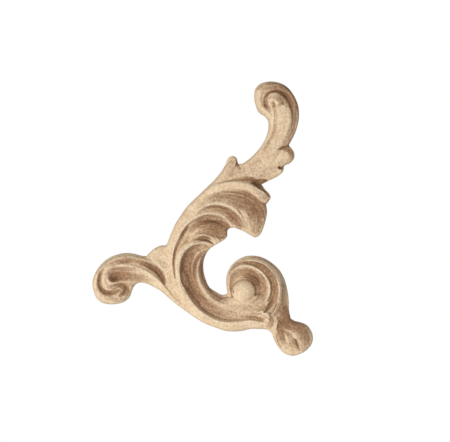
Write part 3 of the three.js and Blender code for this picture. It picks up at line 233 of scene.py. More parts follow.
# The cuts of the gouge: how softly the cut's lip is rounded, and its stations (x, y, floor, half width,
# rise of the side at that half width).
GOUGES = {
    "arm_groove": (0.02, [
        (165, 285, 0.6, 1.2, 0.2), (163, 280, 0.48, 2.7), (159.9, 274.2, 0.46, 3.6),
        (154.8, 268.8, 0.45, 3.9), (148.4, 264.9, 0.46, 3.6), (141, 261.8, 0.53, 3), (132, 259.8, 0.59, 2.2),
        (122, 259.6, 0.62, 1.8), (112.5, 262.2, 0.62, 1.5), (105.6, 266.6, 0.59, 1.6), (100.8, 272, 0.5, 2),
        (99.2, 278, 0.46, 2.4, 0.22), (99, 284, 0.46), (101.4, 288.6, 0.44, 2.8), (105.6, 291.8, 0.43, 3.1),
        (112, 292.6, 0.45), (117, 291.4, 0.5, 2.6), (119.4, 289, 0.58, 1.4)]),
    "eye": (0.04, [(112.8, 276.6, 0.36, 5.4, 0.22), (116, 276.4, 0.38, 5.2)]),
    "eye_tail": (0.04, [
        (118, 275.4, 0.46, 4.8, 0.14), (124, 275.2, 0.52, 4.8, 0.12), (131, 275.8, 0.57, 4.4, 0.1),
        (138, 277, 0.62, 3.4, 0.08)]),
    "crescent": (0.02, [
        (122.8, 284, 0.6, 1.4, 0.2), (125.2, 287, 0.5, 2.4), (124.6, 290.8, 0.5), (121.8, 293.6, 0.56, 1.6)]),
    "crook_groove": (0.02, [
        (268.4, 108.4, 0.6, 1.4, 0.16), (266, 106.4, 0.51, 2.5, 0.18), (265, 102.2, 0.48, 3.1, 0.2),
        (265.2, 97.4, 0.49, 2.8), (267.6, 93.4, 0.46, 2.2), (274, 91, 0.44, 1.5), (280, 91.8, 0.44, 1.6),
        (285.6, 95.6, 0.42, 2.2, 0.18), (289.2, 101, 0.42, 2.6, 0.16), (291.4, 107, 0.44, 2.2, 0.14),
        (292.6, 113, 0.48, 1.7, 0.12), (292.4, 121, 0.5, 1.2, 0.1), (291, 129, 0.5, 0.8)]),
    "frond_nick": (0.02, [(280.6, 148.6, 0.5, 1, 0.2), (284, 147.6, 0.46, 1.2), (288, 146, 0.42)]),
    "frond_hole": (0.02, [(278.6, 167.2, 0.36, 1.2, 0.3), (280, 167.6, 0.36)]),
    "tongue_line": (0.02, [
        (217, 183.4, 0.62, 0.8, 0.16), (225, 180.9, 0.56, 1), (234, 179.6, 0.52, 1.1),
        (243, 179.4, 0.47, 1.3), (250, 180.4, 0.43, 1.6), (256, 184.2, 0.38, 1.9, 0.18),
        (261.4, 188, 0.34, 1.8, 0.2), (264.6, 190.6, 0.32, 1.2)]),
    "tongue_under": (0.015, [
        (240, 191.6, 0.62, 0.7, 0.14), (247.4, 194.2, 0.54, 1), (253.2, 198.2, 0.54, 0.9),
        (259.2, 201.7, 0.5, 1), (265, 204.6, 0.42, 1.1, 0.16)]),
    "leaf_line": (0.02, [
        (191, 226.4, 0.62, 1, 0.16), (195, 223.4, 0.55, 1.2), (201.6, 221.6, 0.5, 1.3),
        (208.6, 220.4, 0.48, 1.4), (215, 221.6, 0.46, 1.7), (222, 225, 0.42, 2.4)]),
    "lip_hollow": (0.02, [
        (195, 241.5, 0.6, 1.8, 0.2), (200, 239.8, 0.55, 2.6, 0.22), (204.6, 239.2, 0.54, 2.8),
        (208.6, 239.8, 0.58, 2, 0.2)]),
    "ball_slit": (0.02, [(231.8, 283, 0.54, 0.8, 0.16), (232, 287.5, 0.5, 1), (232.8, 291.6, 0.52, 0.8)]),
    "curl_pit": (0.02, [
        (252.4, 314.4, 0.66, 1, 0.2), (255.2, 315.8, 0.56, 1.6), (258, 318, 0.52, 2.2),
        (261.4, 319.8, 0.55, 1.9), (264.6, 320.4, 0.64, 1)]),
    "curl_gap": (0.02, [
        (274.2, 302.4, 0.52, 1.5, 0.2), (271, 306.4, 0.5, 1.7), (267, 309.4, 0.52, 1.5),
        (263.4, 311.2, 0.6, 0.9)]),
    "knob_line": (0.02, [
        (280.4, 313.6, 0.62, 0.8, 0.2), (278.6, 319.6, 0.54, 1.1), (276.8, 327.2, 0.5, 1.3),
        (276.3, 334.9, 0.5, 1.4), (277.8, 341.8, 0.5, 1.3), (281, 347, 0.54, 0.9)]),
    "knob_hollow": (0.02, [
        (293.6, 337.4, 0.76, 0.9, 0.1), (295.6, 339, 0.68, 1.6, 0.12), (296.8, 342, 0.64, 1.9),
        (298, 345.8, 0.62, 1.7), (299, 349.6, 0.6, 1.2)]),
}

# Lines too fine for the solid, cut in the same way.
FINE_LINES = {
    "vee_line": (0.015, [
        (163, 281, 0.6, 1, 0.16), (169, 290, 0.58, 0.9), (176, 298, 0.58, 0.8), (184, 306, 0.62, 0.7)]),
    "crook_line": (0.012, [
        (266, 89.4, 0.64, 0.8, 0.12), (272.6, 86.8, 0.6), (280, 87.4, 0.6), (287.6, 92.4, 0.6),
        (292.2, 99.2, 0.6, 0.7), (294.6, 106.6, 0.61, 0.6)]),
    "crook_inner_line": (0.012, [
        (271.6, 104.6, 0.68, 1, 0.1), (273.8, 110, 0.68), (274.4, 118, 0.67), (273.2, 126, 0.67),
        (271, 134, 0.67, 0.9), (268, 141, 0.67, 0.7)]),
    "shell_line_1": (0.012, [
        (223.3, 191.9, 0.68, 0.8, 0.12), (234.2, 194.2, 0.64, 0.9), (242.5, 198.2, 0.62, 1),
        (250, 202.6, 0.61), (255, 207.4, 0.6), (258.4, 213.8, 0.58, 0.9), (260, 220, 0.58, 0.7)]),
    "shell_line_2": (0.012, [
        (238.3, 192.2, 0.64, 0.6, 0.12), (248.3, 197.4, 0.6, 0.7), (255, 201, 0.57), (260, 205.8, 0.54, 0.8),
        (263.2, 211.7, 0.5), (264.4, 217, 0.48, 0.6)]),
    "shell_inner_line": (0.012, [
        (238.4, 212.6, 0.84, 0.5, 0.12), (241.6, 216.2, 0.79, 0.7), (244.6, 220.4, 0.74, 0.8),
        (246.4, 225, 0.68, 0.7)]),
    "scroll_line": (0.012, [
        (174, 272, 0.66, 0.8, 0.14), (175.3, 278, 0.69, 0.7), (177.6, 285.5, 0.71), (181, 293.5, 0.73, 0.5)]),
}

# Brown of the pulp and painted shade together, on faces turned from the light, in creases and pits and
# under raised forms. Each patch is drawn along its middle. Stations: x, y, strength of the brown,
# reach to the left, and reach to the right where it differs. Reaches left out are as they were.
BROWN_AND_SHADE = {
    "trough": [
        (211, 247, 0.3, 3), (203, 247, 0.4, 4, 5), (195, 249, 0.65, 5, 8), (189.4, 254, 0.85, 8, 8.6),
        (187, 262, 1, 8, 9.4), (186.6, 271, 1.1, 8, 10), (188.2, 280, 1.1), (192, 289, 1, 8, 9),
        (199, 297.2, 0.9, 7, 9), (208, 305.6, 0.8), (219, 311, 0.65, 7, 8), (231, 314, 0.45, 7, 6),
        (242, 315.6, 0.35, 5, 4), (250, 316.4, 0.7, 3), (257, 317.6, 0.7, 2.4, 2.6), (262, 319, 0.6, 2.4)],
    "ring_flank": [
        (209, 249.4, 0.3, 3), (204, 255, 0.7, 3.4), (201.8, 262, 0.9, 4, 3.6), (201.2, 271, 0.95, 4, 3.8),
        (203, 279, 0.9, 4), (207.2, 287, 0.85, 3.6), (213.4, 293.8, 0.75, 4), (220.6, 298, 0.6),
        (228, 299.4, 0.3, 3)],
    "band_floor": [(250, 313.6, 0.5, 4, 3), (258, 311.6, 0.5, 3), (263, 306, 0.6)],
    "ring_inner": [(203, 284, 0.2, 2), (210, 294.6, 0.5, 3), (218, 300.6, 0.6), (226, 303, 0.4)],
    "ring_foot": [
        (205.6, 249.6, 0.5, 2), (199.4, 254.4, 0.9, 2.4), (194.8, 262, 1.15), (193.4, 270.6, 1.15),
        (194.8, 279.6, 1, 2.4, 2.2), (199, 289, 0.6, 2), (205, 296.4, 0.4)],
    "ring_crest": [
        (203.4, 252.6, 0.6, 2), (199.8, 257, 0.8, 2.2), (197.6, 263, 0.75), (196.6, 272, 0.55),
        (198.6, 281, 0.35), (203.4, 289, 0.25), (210.6, 297, 0.2, 2)],
    "bowl": [
        (232.4, 290, 0.1, 3, 2), (232, 283, 0.3, 4, 3), (234.4, 276, 0.55, 5, 4.4), (240, 272.4, 0.6, 6),
        (248, 272.4, 0.85, 7), (254, 276.6, 1.05, 8, 6.4), (257, 282, 0.95, 11.4, 6.4),
        (259, 290, 0.8, 9.6, 5.4), (257, 298, 0.5, 9, 4.4), (250, 302, 0.3, 4, 3)],
    "ball_ring": [
        (240, 275, 0.45, 3, 3.4), (249, 275.6, 1.3, 4, 5), (256.6, 282, 1.4, 4.4, 5),
        (258.6, 289, 0.8, 3, 4)],
    "volute_left": [(229, 281, 0.35, 3), (231, 272, 0.5), (236, 265, 0.6), (244, 260.6, 0.5)],
    "outer_groove": [
        (243, 262.4, 0.5, 2, 2.4), (252, 262.6, 0.8, 2.6, 3), (260, 265.4, 1, 3.6), (267, 270.6, 0.95, 4.4),
        (271.6, 277.6, 0.98, 4.6), (273.4, 286, 1.04), (273, 294, 0.95, 4.6, 4.4), (270.6, 301, 1.1, 4, 3.4),
        (265.6, 308, 1.1, 2.6)],
    "volute_flank": [
        (250, 255.6, 0.3, 3), (261.6, 257.8, 0.52), (271, 264, 0.46, 4, 3), (279, 273, 0.46),
        (282, 283, 0.56, 4, 3.6), (282.2, 293.6, 0.64, 4.6, 4.4), (281.4, 303, 0.62, 6.4, 5),
        (284.6, 312, 1, 7, 8), (286.6, 319, 1.1, 8, 9)],
    "knob_top": [
        (279, 318, 0.9, 5, 4), (285, 322.4, 1.05, 9, 6.4), (293, 325.6, 0.85, 9, 7), (301, 330, 0.85, 9, 8),
        (305, 338.4, 0.85, 6, 7), (303.6, 347, 0.35, 5, 6)],
    "knob_left": [(280, 322, 1, 5, 4), (279.6, 330, 1), (281.4, 339, 0.7), (286, 346, 0.3, 4)],
    "knob_face": [
        (283, 330, 0.6, 3), (288, 333, 0.7), (290, 338, 0.6, 3.4), (290.6, 344, 0.5), (292, 350, 0.2, 3)],
    "knob_pit": [(294.4, 339.4, 0.85, 2, 3.4), (296, 343.4, 0.8, 1.6, 4), (297.6, 347.4, 0.4, 1.4, 3)],
    "shell_slope": [
        (202, 204, 0.35, 5), (212, 198.8, 0.5, 7, 6), (227, 197.4, 0.65, 6, 8), (239, 200, 0.85, 8, 11),
        (249, 204.4, 0.98, 10, 10.6), (256, 211, 1.02, 12, 11), (257.6, 220, 0.7, 9, 12),
        (256, 229.6, 0.6, 5, 7)],
    "scoop": [
        (197, 214, 0.3, 3), (207, 209.4, 0.4, 3.6, 4), (217, 209, 0.5, 4, 4.6), (226, 211.6, 0.75, 4.4, 6),
        (233.4, 217, 1.1, 4.6, 7), (239, 225, 0.8, 4, 5)],
    "shell_line_outer": [
        (222, 191.6, 0.5, 1), (232, 192, 0.9), (244, 194.6, 1.1, 1, 1.1), (255, 201.4, 1.2, 1.1, 1.2),
        (262, 211.6, 1, 1.1), (264, 218, 0.5, 1)],
    "shell_line_middle": [
        (224, 195, 0.6, 0.9), (233, 195, 0.9), (243, 197.2, 1.1, 1), (252.6, 204, 1.2, 1.1),
        (259.4, 215, 1.1, 1), (260.6, 222, 0.5, 0.9)],
    "shell_line_inner": [
        (231, 199, 0.6, 0.9), (240, 200, 0.9), (249.4, 206, 1, 1), (256, 215.4, 1), (257.4, 223, 0.5, 0.9)],
    "scoop_bank": [(236, 213, 0.2, 3), (241.6, 219.6, 0.5), (244.4, 226, 0.4)],
    "rib_shade": [
        (194, 221.6, 0.3, 3), (201, 217.6, 0.6), (209, 215.8, 0.65), (217, 216.8, 0.65), (223, 219.6, 0.5)],
    "under_rib": [
        (190, 230.6, 0.5, 2.4, 4), (195, 225, 0.75, 3, 5), (203, 222, 0.95, 4, 8), (211, 221.4, 1.2, 4, 11),
        (218, 222.6, 1.3), (225, 226, 1.2, 5, 8), (228, 231.6, 1.1, 4, 5)],
    "leaf_line": [
        (189, 228, 0.4, 1.6), (199, 222.4, 1.1, 1.8, 2), (208, 220.8, 1.5, 2, 2.4), (216, 221.4, 1.5, 2, 2.8),
        (222, 224.4, 1.4, 2, 4), (226, 229, 1.2, 2, 5)],
    "leaf_field": [
        (196, 232.6, 0.35, 5, 4), (205, 229.6, 0.75, 8, 5), (214, 231, 1, 8, 7), (222, 233.6, 1, 7)],
    "lip_patch": [
        (194.6, 241, 0.25, 3, 2), (201, 238, 0.95, 3.6, 4), (207, 238.2, 0.95), (211.4, 239.4, 0.3, 2.4)],
    "slit": [
        (187, 226.8, 0.7, 2.6, 2.4), (181.8, 233, 1.1, 3.2, 2.2), (179, 241, 0.8, 1.6), (175, 250, 1, 1.8),
        (173.6, 259, 1), (173.8, 269, 0.9, 1.6), (174.8, 277, 0.4, 1.2)],
    "arm_groove": [
        (165, 284, 0.4, 2), (162.6, 278, 0.95, 3.4), (158, 271.4, 1.15, 4.6), (151, 266, 1.1),
        (143.4, 262.4, 0.95, 4), (134, 260.2, 0.65, 3), (124, 259.4, 0.4), (114, 261.4, 0.3, 2.6)],
    "arm_top": [
        (152, 261, 0.1, 2, 3), (140, 259.6, 0.5, 2.4, 4), (127, 260, 0.8, 3.4, 6), (114, 262, 0.7, 3, 5),
        (104, 265, 0.4, 4), (98, 272, 0.3, 3)],
    "eye": [
        (113.4, 276.8, 1.6, 5.4, 5.8), (119, 275.8, 1.1, 6.4), (127, 275.6, 0.85, 6), (134, 276.6, 0.65),
        (144, 278, 0.6, 5), (151, 281, 0.3, 4)],
    "left_groove": [
        (103, 268.6, 0.3, 2.2), (99.8, 275.6, 0.6, 2.4), (99.4, 283, 0.65, 2.8), (101.4, 289, 0.75, 3.2),
        (106.6, 292, 0.9, 3.6), (114.3, 291.6, 0.9), (119, 289.4, 0.8, 3)],
    "rib_top": [
        (106, 273, 0.4, 3), (111, 270, 0.7, 4, 3.4), (120, 269, 0.75, 4.4, 3.6), (131, 269, 0.55, 4.4, 4),
        (140, 270, 0.3, 3)],
    "arm_joint": [(154, 257, 0.3, 4), (160, 261, 0.45), (166, 267, 0.3)],
    "arm_under": [(123, 281.6, 0.4, 3), (130, 284, 0.5), (137, 283, 0.2)],
    "left_rim": [(106, 298.4, 0.3, 3), (116, 299, 0.5), (125, 297.6, 0.35)],
    "crescent": [
        (108, 286.4, 0.4, 3), (113.6, 286, 0.8, 3.4), (119, 284.4, 1.1), (124, 286.6, 1.2, 4.6, 3.4),
        (124.4, 290.8, 1.1, 5, 4), (120.6, 293.6, 0.8, 4, 3)],
    "crook_back": [
        (258, 88, 0.4, 4), (269, 86, 0.75, 5), (280, 87.6, 1.05, 5, 6), (290, 94, 1.25, 6, 5.4),
        (295, 102.6, 1.15, 5.4), (295, 112, 0.85, 5, 6), (294, 124, 0.6, 5, 4.8), (289.4, 136, 0.55, 4, 5),
        (285, 145, 0.6, 6, 4)],
    "crook_fold": [
        (265, 93, 0.5, 1.8), (275, 91, 1.1, 2, 2.2), (283.6, 94.6, 1.2, 3.4, 4.2), (288.8, 101.2, 1.05, 4),
        (290.2, 110, 0.95, 3.8, 3.2), (290.4, 117, 0.5, 2, 3)],
    "hook": [(269, 109, 0.6, 2), (265.8, 106, 0.7, 3), (264.6, 100, 0.6, 3.4), (266.8, 94, 0.65, 2.6)],
    "nose": [
        (269.6, 97.4, 0.4, 3), (273.6, 97.4, 0.5, 4), (278, 99, 0.7), (281, 102.4, 0.8, 3),
        (278, 105.6, 0.45)],
    "nose_spot": [(280.4, 103.2, 0.9, 1.9), (282.4, 104, 0.9)],
    "crook_line": [
        (272.8, 103, 0.8, 2.4), (274, 109, 0.6), (274.6, 116, 0.4), (274.4, 126, 0.5, 2.2),
        (271.4, 136, 0.6, 2.8), (267, 144, 0.6, 3), (262.6, 150, 0.4)],
    "nick": [(278, 149, 0.85, 1.8), (283.6, 147, 1.3, 2.4), (288.4, 145.6, 1, 2.2)],
    "hole": [(278.4, 167, 1.6, 2), (280.2, 167.6, 1.6), (283, 166.4, 0.6, 2.4)],
    "tongue_shade": [
        (227, 181.8, 0.4, 1.6, 1), (236, 179.2, 0.5, 2.4, 1), (244, 178.4, 0.7, 3, 1.6),
        (250, 178.8, 1, 3.4, 2.4), (256, 182.4, 1.6, 3.6, 4), (261, 185, 1.6, 3.4, 4)],
    "lobe_end": [
        (284, 148.6, 0.8, 3), (288.4, 150.4, 0.95, 3.6, 3), (290.6, 158, 0.5, 4, 3), (285, 163, 0.3)],
    "neck_side": [(262, 175, 0.4, 5), (270, 171, 0.4, 5, 4), (276, 167.6, 0.35), (283, 161, 0.3, 4, 3)],
    "notch": [(255, 179, 0.4, 2.4), (261, 180.4, 1.1, 3), (265, 181, 1.3)],
    "tongue_top": [
        (251, 183.4, 0.8, 2), (256, 185.8, 1.1, 2.4), (261.4, 188.8, 1, 1.8), (265.6, 192.6, 0.9, 1.6),
        (268.4, 195.8, 0.7, 1.4)],
    "tongue_face": [(248, 188, 0.15, 4), (256, 191.6, 0.35), (263, 196.6, 0.5), (266, 200, 0.5, 3)],
    "scoop_line": [(234.4, 207.2, 0.4, 0.8), (238.6, 211.2, 1, 0.9), (242, 217, 1), (243.6, 222.6, 0.6, 0.8)],
    "point_side": [(236, 160, 0.6, 1.6), (236.6, 164, 1, 2), (239, 168, 0.8, 2.4)],
    "point": [(234.6, 157, 0.3, 4), (231, 163, 0.5), (226, 168, 0.3), (239, 168, 0.4, 3)],
    # Painted shadow cast by the neck
    "neck_cast_shadow": [
        (232, 171, 0.4, 4, 8), (241, 170, 0.4, 6, 10), (254, 170, 0.35, 8, 10), (266, 172, 0.35, 7, 8)],
    "band": [(222, 304, 0.1, 3, 5), (234, 306, 0.35, 4, 6), (246, 308, 0.45, 6), (258, 308, 0.45, 6, 5)],
    "stalk_root": [(265, 314, 0.4, 3), (269.6, 316.6, 0.75, 3.6), (271, 320, 0.7, 3.4), (269, 325, 0.5, 4)],
    "neck_tan": [
        (240, 176, 0.3, 5), (252, 167, 0.35, 9), (264, 156, 0.25, 8), (273, 147, 0.35, 9),
        (278, 134, 0.2, 7, 8), (281, 122, 0.15, 5)],
    "stalk": [(270, 314, 0.3, 4, 6), (275, 311, 0.7, 5, 6), (278, 305, 0.8, 4, 6), (279.6, 299, 0.5, 2, 5)],
    "tongue_end": [
        (234, 191, 0.25, 3), (242, 192.4, 0.6, 5, 4), (251, 197, 0.85, 4.4, 4), (258, 202.4, 0.8, 4),
        (264, 206, 0.8, 5)],
}

# The lumps of the pulp: reach in squares and depth as a share of RELIEF, and the seed of their throws
LUMPS = ((0.8, 0.0032), (2.4, 0.0045))
LUMP_SEED = 11

# The streaks in the brown: the seed, the throws each way before they repeat, width and length in squares,
# and the share of a patch's strength in the palest streak and what the darkest adds
STREAK_SEED = 7
STREAK_THROWS = 40
STREAK_WIDTH = 0.9
STREAK_LENGTH = 12
STREAK_PALEST = 0.65
STREAK_RANGE = 0.7

# In squares: how closely the skin is sampled, the empty margin round it, and how far from the outline the
# distance to it is told
STEP = 0.5
MARGIN = 12
EDGE_REACH = 4

# How far from its line a gouge can cut, in half widths and in squares more, and the least width of a side
GOUGE_SPREAD = 1.6
GOUGE_SPARE = 2
LEAST_WIDTH = 0.01

# How far around a point its hollow is judged, in squares
NARROW_LOOK = 2.2
WIDE_LOOK = 7.0

# The edge wall: heights of its rows as shares of GROUND, how hollow it counts for the painted shade, and
# how brown it counts, painted shade included
WALL_ROWS = [0.7, 0.35, 0]
WALL_HOLLOW = 0.02
WALL_BROWN_AND_SHADE = 0.1

# Colours as they look on screen, 0 to 255
COLOURS = {
    "pulp": (221, 195, 162),
    "pale pulp": (229, 207, 176),
    "warm pulp": (227, 197, 168),
    # Painted shade in wide hollows
    "shade in wide hollows": (178, 142, 108),
    # brown and scorched: the pulp's brown with painted shade in it
    "brown": (160, 124, 94),
    "deepest brown and shade": (112, 82, 57),
    # Painted shade in narrow hollows
    "shade in narrow hollows": (128, 92, 64),
    # Crests paler by wear and by a painted highlight
    "worn and lit crest": (236, 217, 190),
    "speckle": (236, 232, 225),
    "speckle on brown": (218, 211, 202),
    "fleck": (232, 223, 212),
    "fleck on brown": (206, 193, 178),
    "floor": (240, 240, 240),
}

# The floor, how far below the applique it lies and its side, in metres
FLOOR_DROP = 0.45
FLOOR_SIDE = 2.4

# The picture: its width and middle in squares, and the share of RELIEF at which it is that wide
IMAGE_WIDE = 450
PICTURE_MIDDLE = (224.5, 220.5)
PICTURE_DEPTH = 0.4
LENS = 100
SENSOR = 36

# The soft key light at the lower left, in metres and watts, and the strength of the light all round
KEY_PLACE = (-0.47, -1.0, -0.16)
KEY_SIDE = 0.5
KEY_WATTS = 8.5
FILL_STRENGTH = 0.5


def smooth_line(stations, per_span=8):
    """A cubic on each span between stations. Its slope at a station is the mean of the two chords
    that meet there, each weighted by the length of the other. Every column rides along."""
    full = [stations[0]]
    for station in stations[1:]:
        full.append((*station, *full[-1][len(station) :]))
    rows = np.array(full, float)
    padded = np.vstack([2 * rows[:1] - rows[1:2], rows, 2 * rows[-1:] - rows[-2:-1]])
    a, b, c, d = (padded[i : len(padded) - 3 + i, None] for i in range(4))

    def chord(p, q):
        return np.linalg.norm((q - p)[..., :2], axis=-1, keepdims=True)

    ab, bc, cd = chord(a, b), chord(b, c), chord(c, d)
    leave = ((c - b) / bc * ab + (b - a) / ab * bc) / (ab + bc) * bc
    arrive = ((d - c) / cd * bc + (c - b) / bc * cd) / (bc + cd) * bc
    t = np.linspace(0, 1, per_span, endpoint=False)[:, None]
    line = (
        (2 * t**3 - 3 * t**2 + 1) * b
        + (t**3 - 2 * t**2 + t) * leave
        + (3 * t**2 - 2 * t**3) * c
        + (t**3 - t**2) * arrive
    )
    return np.vstack([line.reshape(-1, rows.shape[1]), rows[-1:]])


def closed_outline():
    """The outline's runs end to end, closed, with the way walked along it as a third column."""
    runs = list(OUTLINE.values())
    starts = [run[-1] for run in runs[-1:] + runs[:-1]]
    lines = [smooth_line([start, *run], per_span=10)[:-1] for start, run in zip(starts, runs)]
    edge = np.vstack([*lines, lines[0][:1]])
    walked = np.append(0, np.cumsum(np.linalg.norm(np.diff(edge, axis=0), axis=1)))
    return np.column_stack([edge, walked])


edge = closed_outline()
sheet_left, sheet_top = edge[:, :2].min(axis=0)
sheet_right, sheet_foot = edge[:, :2].max(axis=0)
SQUARE = (cad_high.z - cad_low.z) / (sheet_foot - sheet_top)
CENTRE_X = (sheet_left + sheet_right) / 2
CENTRE_Y = (sheet_top + sheet_foot) / 2

xs = np.arange(sheet_left - MARGIN, sheet_right + MARGIN, STEP)
ys = np.arange(sheet_top - MARGIN, sheet_foot + MARGIN, STEP)
X, Y = np.meshgrid(xs, ys)


def nearest_on(line, reach):
    """For every point of the sheet within reach of a line: the line's columns at its nearest place,
    the distance to it, and whether the point lies on the line's right hand. The nearest place is
    the foot of the perpendicular on the closest of the line's short straight pieces."""
    distance = np.full(X.shape, np.inf)
    on_right = np.zeros(X.shape, bool)
    columns = np.zeros(X.shape + (line.shape[1],))
    for start, end in zip(line[:-1], line[1:]):
        near = np.minimum(start, end)[:2] - reach
        far = np.maximum(start, end)[:2] + reach
        part = np.s_[
            np.searchsorted(ys, near[1]) : np.searchsorted(ys, far[1]),
            np.searchsorted(xs, near[0]) : np.searchsorted(xs, far[0]),
        ]
        dx, dy = (end - start)[:2]
        ex = X[part] - start[0]
        ey = Y[part] - start[1]
        share = np.clip((ex * dx + ey * dy) / (dx * dx + dy * dy), 0, 1)
        gap = np.hypot(ex - share * dx, ey - share * dy)
        closer = gap < distance[part]
        distance[part] = np.where(closer, gap, distance[part])
        on_right[part] = np.where(closer, dx * ey - dy * ex > 0, on_right[part])
        here = start + share[..., None] * (end - start)
        columns[part] = np.where(closer[..., None], here, columns[part])
    return columns, distance, on_right


def inside_outline():
    """A point is inside if the outline crosses its row an odd number of times to its left."""
    inside = np.zeros(X.shape, bool)
    for (ax, ay, _), (bx, by, _) in zip(edge[:-1], edge[1:]):
        rows = slice(*sorted([np.searchsorted(ys, ay), np.searchsorted(ys, by)]))
        if rows.start < rows.stop:
            crossing = ax + (bx - ax) * (ys[rows] - ay) / (by - ay)
            inside[rows] ^= xs[None] > crossing[:, None]
    return inside


# Sections of a form, from its crest (0) to its foot (1)
SECTION = {
    "round": lambda v: np.sqrt(1 - v * v),
    "dome": lambda v: 1 - v * v,
    "soft": lambda v: 1 - v**3,
    "slope": lambda v: 1 - v,
    "ogee": lambda v: (1 + np.cos(np.pi * v)) / 2,
    "hollow": lambda v: (1 - v) ** 2,
    "wall": lambda v: (1 - v) ** 3,
}


def blend_up(a, b, reach):
    """The higher of two heights, run together by a parabola where they differ by less than reach."""
    t = np.clip(0.5 + 0.5 * (a - b) / reach, 0, 1)
    return b * (1 - t) + a * t + reach * t * (1 - t)


def blend_down(a, b, reach):
    """The lower of two heights, run together in the same way."""
    return -blend_up(-a, -b, reach)


def raise_form(height, left, right, left_foot, right_foot, stations, blend):
    """Adds a form along its crest line. Each side is foot + (crest - foot) * section, where the
    section is read at the distance from the crest over the width of that side."""
    line = smooth_line(stations)
    columns, distance, on_right = nearest_on(line, line[:, 3:5].max())
    crest = columns[..., 2]
    width = np.maximum(np.where(on_right, columns[..., 4], columns[..., 3]), LEAST_WIDTH)
    out = np.clip(distance / width, 0, 1)
    left_side = left_foot + (crest - left_foot) * SECTION[left](out)
    right_side = right_foot + (crest - right_foot) * SECTION[right](out)
    form = np.where(on_right, right_side, left_side)
    return np.where(distance < width, blend_up(height, form, blend), height)


def cut_gouge(height, blend, stations):
    """Cuts a groove: floor + rise * (distance / half width) squared, where that is lower."""
    line = smooth_line(stations)
    columns, distance, _ = nearest_on(line, GOUGE_SPARE + GOUGE_SPREAD * line[:, 3].max())
    told = np.isfinite(distance)
    half_widths = np.where(told, distance, 0) / np.maximum(columns[..., 3], LEAST_WIDTH)
    swept = columns[..., 2] + columns[..., 4] * half_widths**2
    lowered = np.minimum(height, blend_down(height, swept, blend))
    return np.where(told, lowered, height)


def carved_heights():
    """Ground, then beds, then forms blended upwards, then the gouges cut in."""
    height = np.full(X.shape, GROUND)
    for stations in BEDS.values():
        height = raise_form(height, "soft", "soft", GROUND, GROUND, stations, BED_BLEND)
    for left, right, left_foot, right_foot, stations in FORMS.values():
        height = raise_form(height, left, right, left_foot, right_foot, stations, FORM_BLEND)
    for blend, stations in [*GOUGES.values(), *FINE_LINES.values()]:
        height = cut_gouge(height, blend, stations)
    return height


def brown_and_painted_shade():
    """How brown each point is, the pulp's brown and painted shade together: strength * (1 - (distance /
    reach) cubed) of the patch that tells most there, times a streak. The streak is read between random
    throws, by how far across and how far along the patch the point lies."""
    throws = np.random.default_rng(STREAK_SEED).uniform(0, 1, (STREAK_THROWS, STREAK_THROWS))
    shifts = ((0, 0), (-1, 0), (0, -1), (-1, -1))
    shifted = [np.roll(throws, shift, (0, 1)) for shift in shifts]
    brown = np.zeros(X.shape)
    for patch_stations in BROWN_AND_SHADE.values():
        stations = []
        for x, y, strength, *given in patch_stations:
            reaches = (given * 2)[:2] or reaches
            stations.append((x, y, strength, *reaches))
        line = smooth_line(stations)
        walked = np.append(0, np.cumsum(np.hypot(*np.diff(line[:, :2], axis=0).T)))
        columns, distance, on_right = nearest_on(np.column_stack([line, walked]), line[:, 3:5].max())
        reach = np.where(on_right, columns[..., 4], columns[..., 3])
        out = np.clip(distance / np.maximum(reach, LEAST_WIDTH), 0, 1)
        across = np.where(on_right, distance, -distance) / STREAK_WIDTH + STREAK_THROWS / 2
        across = np.where(np.isfinite(across), across, 0)
        along = columns[..., 5] / STREAK_LENGTH
        row, place = (np.floor(way).astype(int) % STREAK_THROWS for way in (across, along))
        past_row, past_place = (way - np.floor(way) for way in (across, along))
        here, next_row, next_place, next_both = (each[row, place] for each in shifted)
        near = here * (1 - past_row) + next_row * past_row
        far = next_place * (1 - past_row) + next_both * past_row
        streak = near * (1 - past_place) + far * past_place
        patch = columns[..., 2] * (1 - out**3) * (STREAK_PALEST + STREAK_RANGE * streak)
        brown = np.maximum(brown, np.where(distance < reach, patch, 0))
    return brown


def pulp_lumps():
    """The small lumps of pressed fibre, in shares of RELIEF: random values averaged over a short and
    over a longer reach, each then brought to its own depth."""
    throws = np.random.default_rng(LUMP_SEED)
    lumps = np.zeros(X.shape)
    for spread, depth in LUMPS:
        field = averaged(throws.standard_normal(X.shape), np.ones(X.shape), spread)
        lumps += depth * field / field.std()
    return lumps


def averaged(values, weights, spread):
    """A bell-shaped average of the values over the inside of the sheet; spread is in squares."""
    rows = np.fft.fftfreq(X.shape[0])[:, None]
    columns = np.fft.rfftfreq(X.shape[1])[None]
    bell = np.exp(-2 * (np.pi * spread / STEP) ** 2 * (rows**2 + columns**2))

    def smooth(field):
        return np.fft.irfft2(np.fft.rfft2(field) * bell, X.shape)

    return smooth(values * weights) / np.maximum(smooth(weights), 1e-4)


def rolled_off(height, from_edge):
    """Rounds the carving down to the ground at the outline by a quarter circle."""
    share = np.clip(from_edge * SQUARE / EDGE_ROUND, 0, 1)
    return GROUND + (height - GROUND) * np.sqrt(1 - (1 - share) ** 2)


def nodes_on_edge(signed):
    """Of every two neighbours on either side of the outline, the nearer one is moved onto it."""
    inside = signed > 0
    moved = np.zeros(X.shape, bool)
    for first, second in ((np.s_[:-1], np.s_[1:]), (np.s_[:, :-1], np.s_[:, 1:])):
        crossing = inside[first] != inside[second]
        first_nearer = np.abs(signed[first]) <= np.abs(signed[second])
        moved[first] |= crossing & first_nearer
        moved[second] |= crossing & ~first_nearer
    return moved


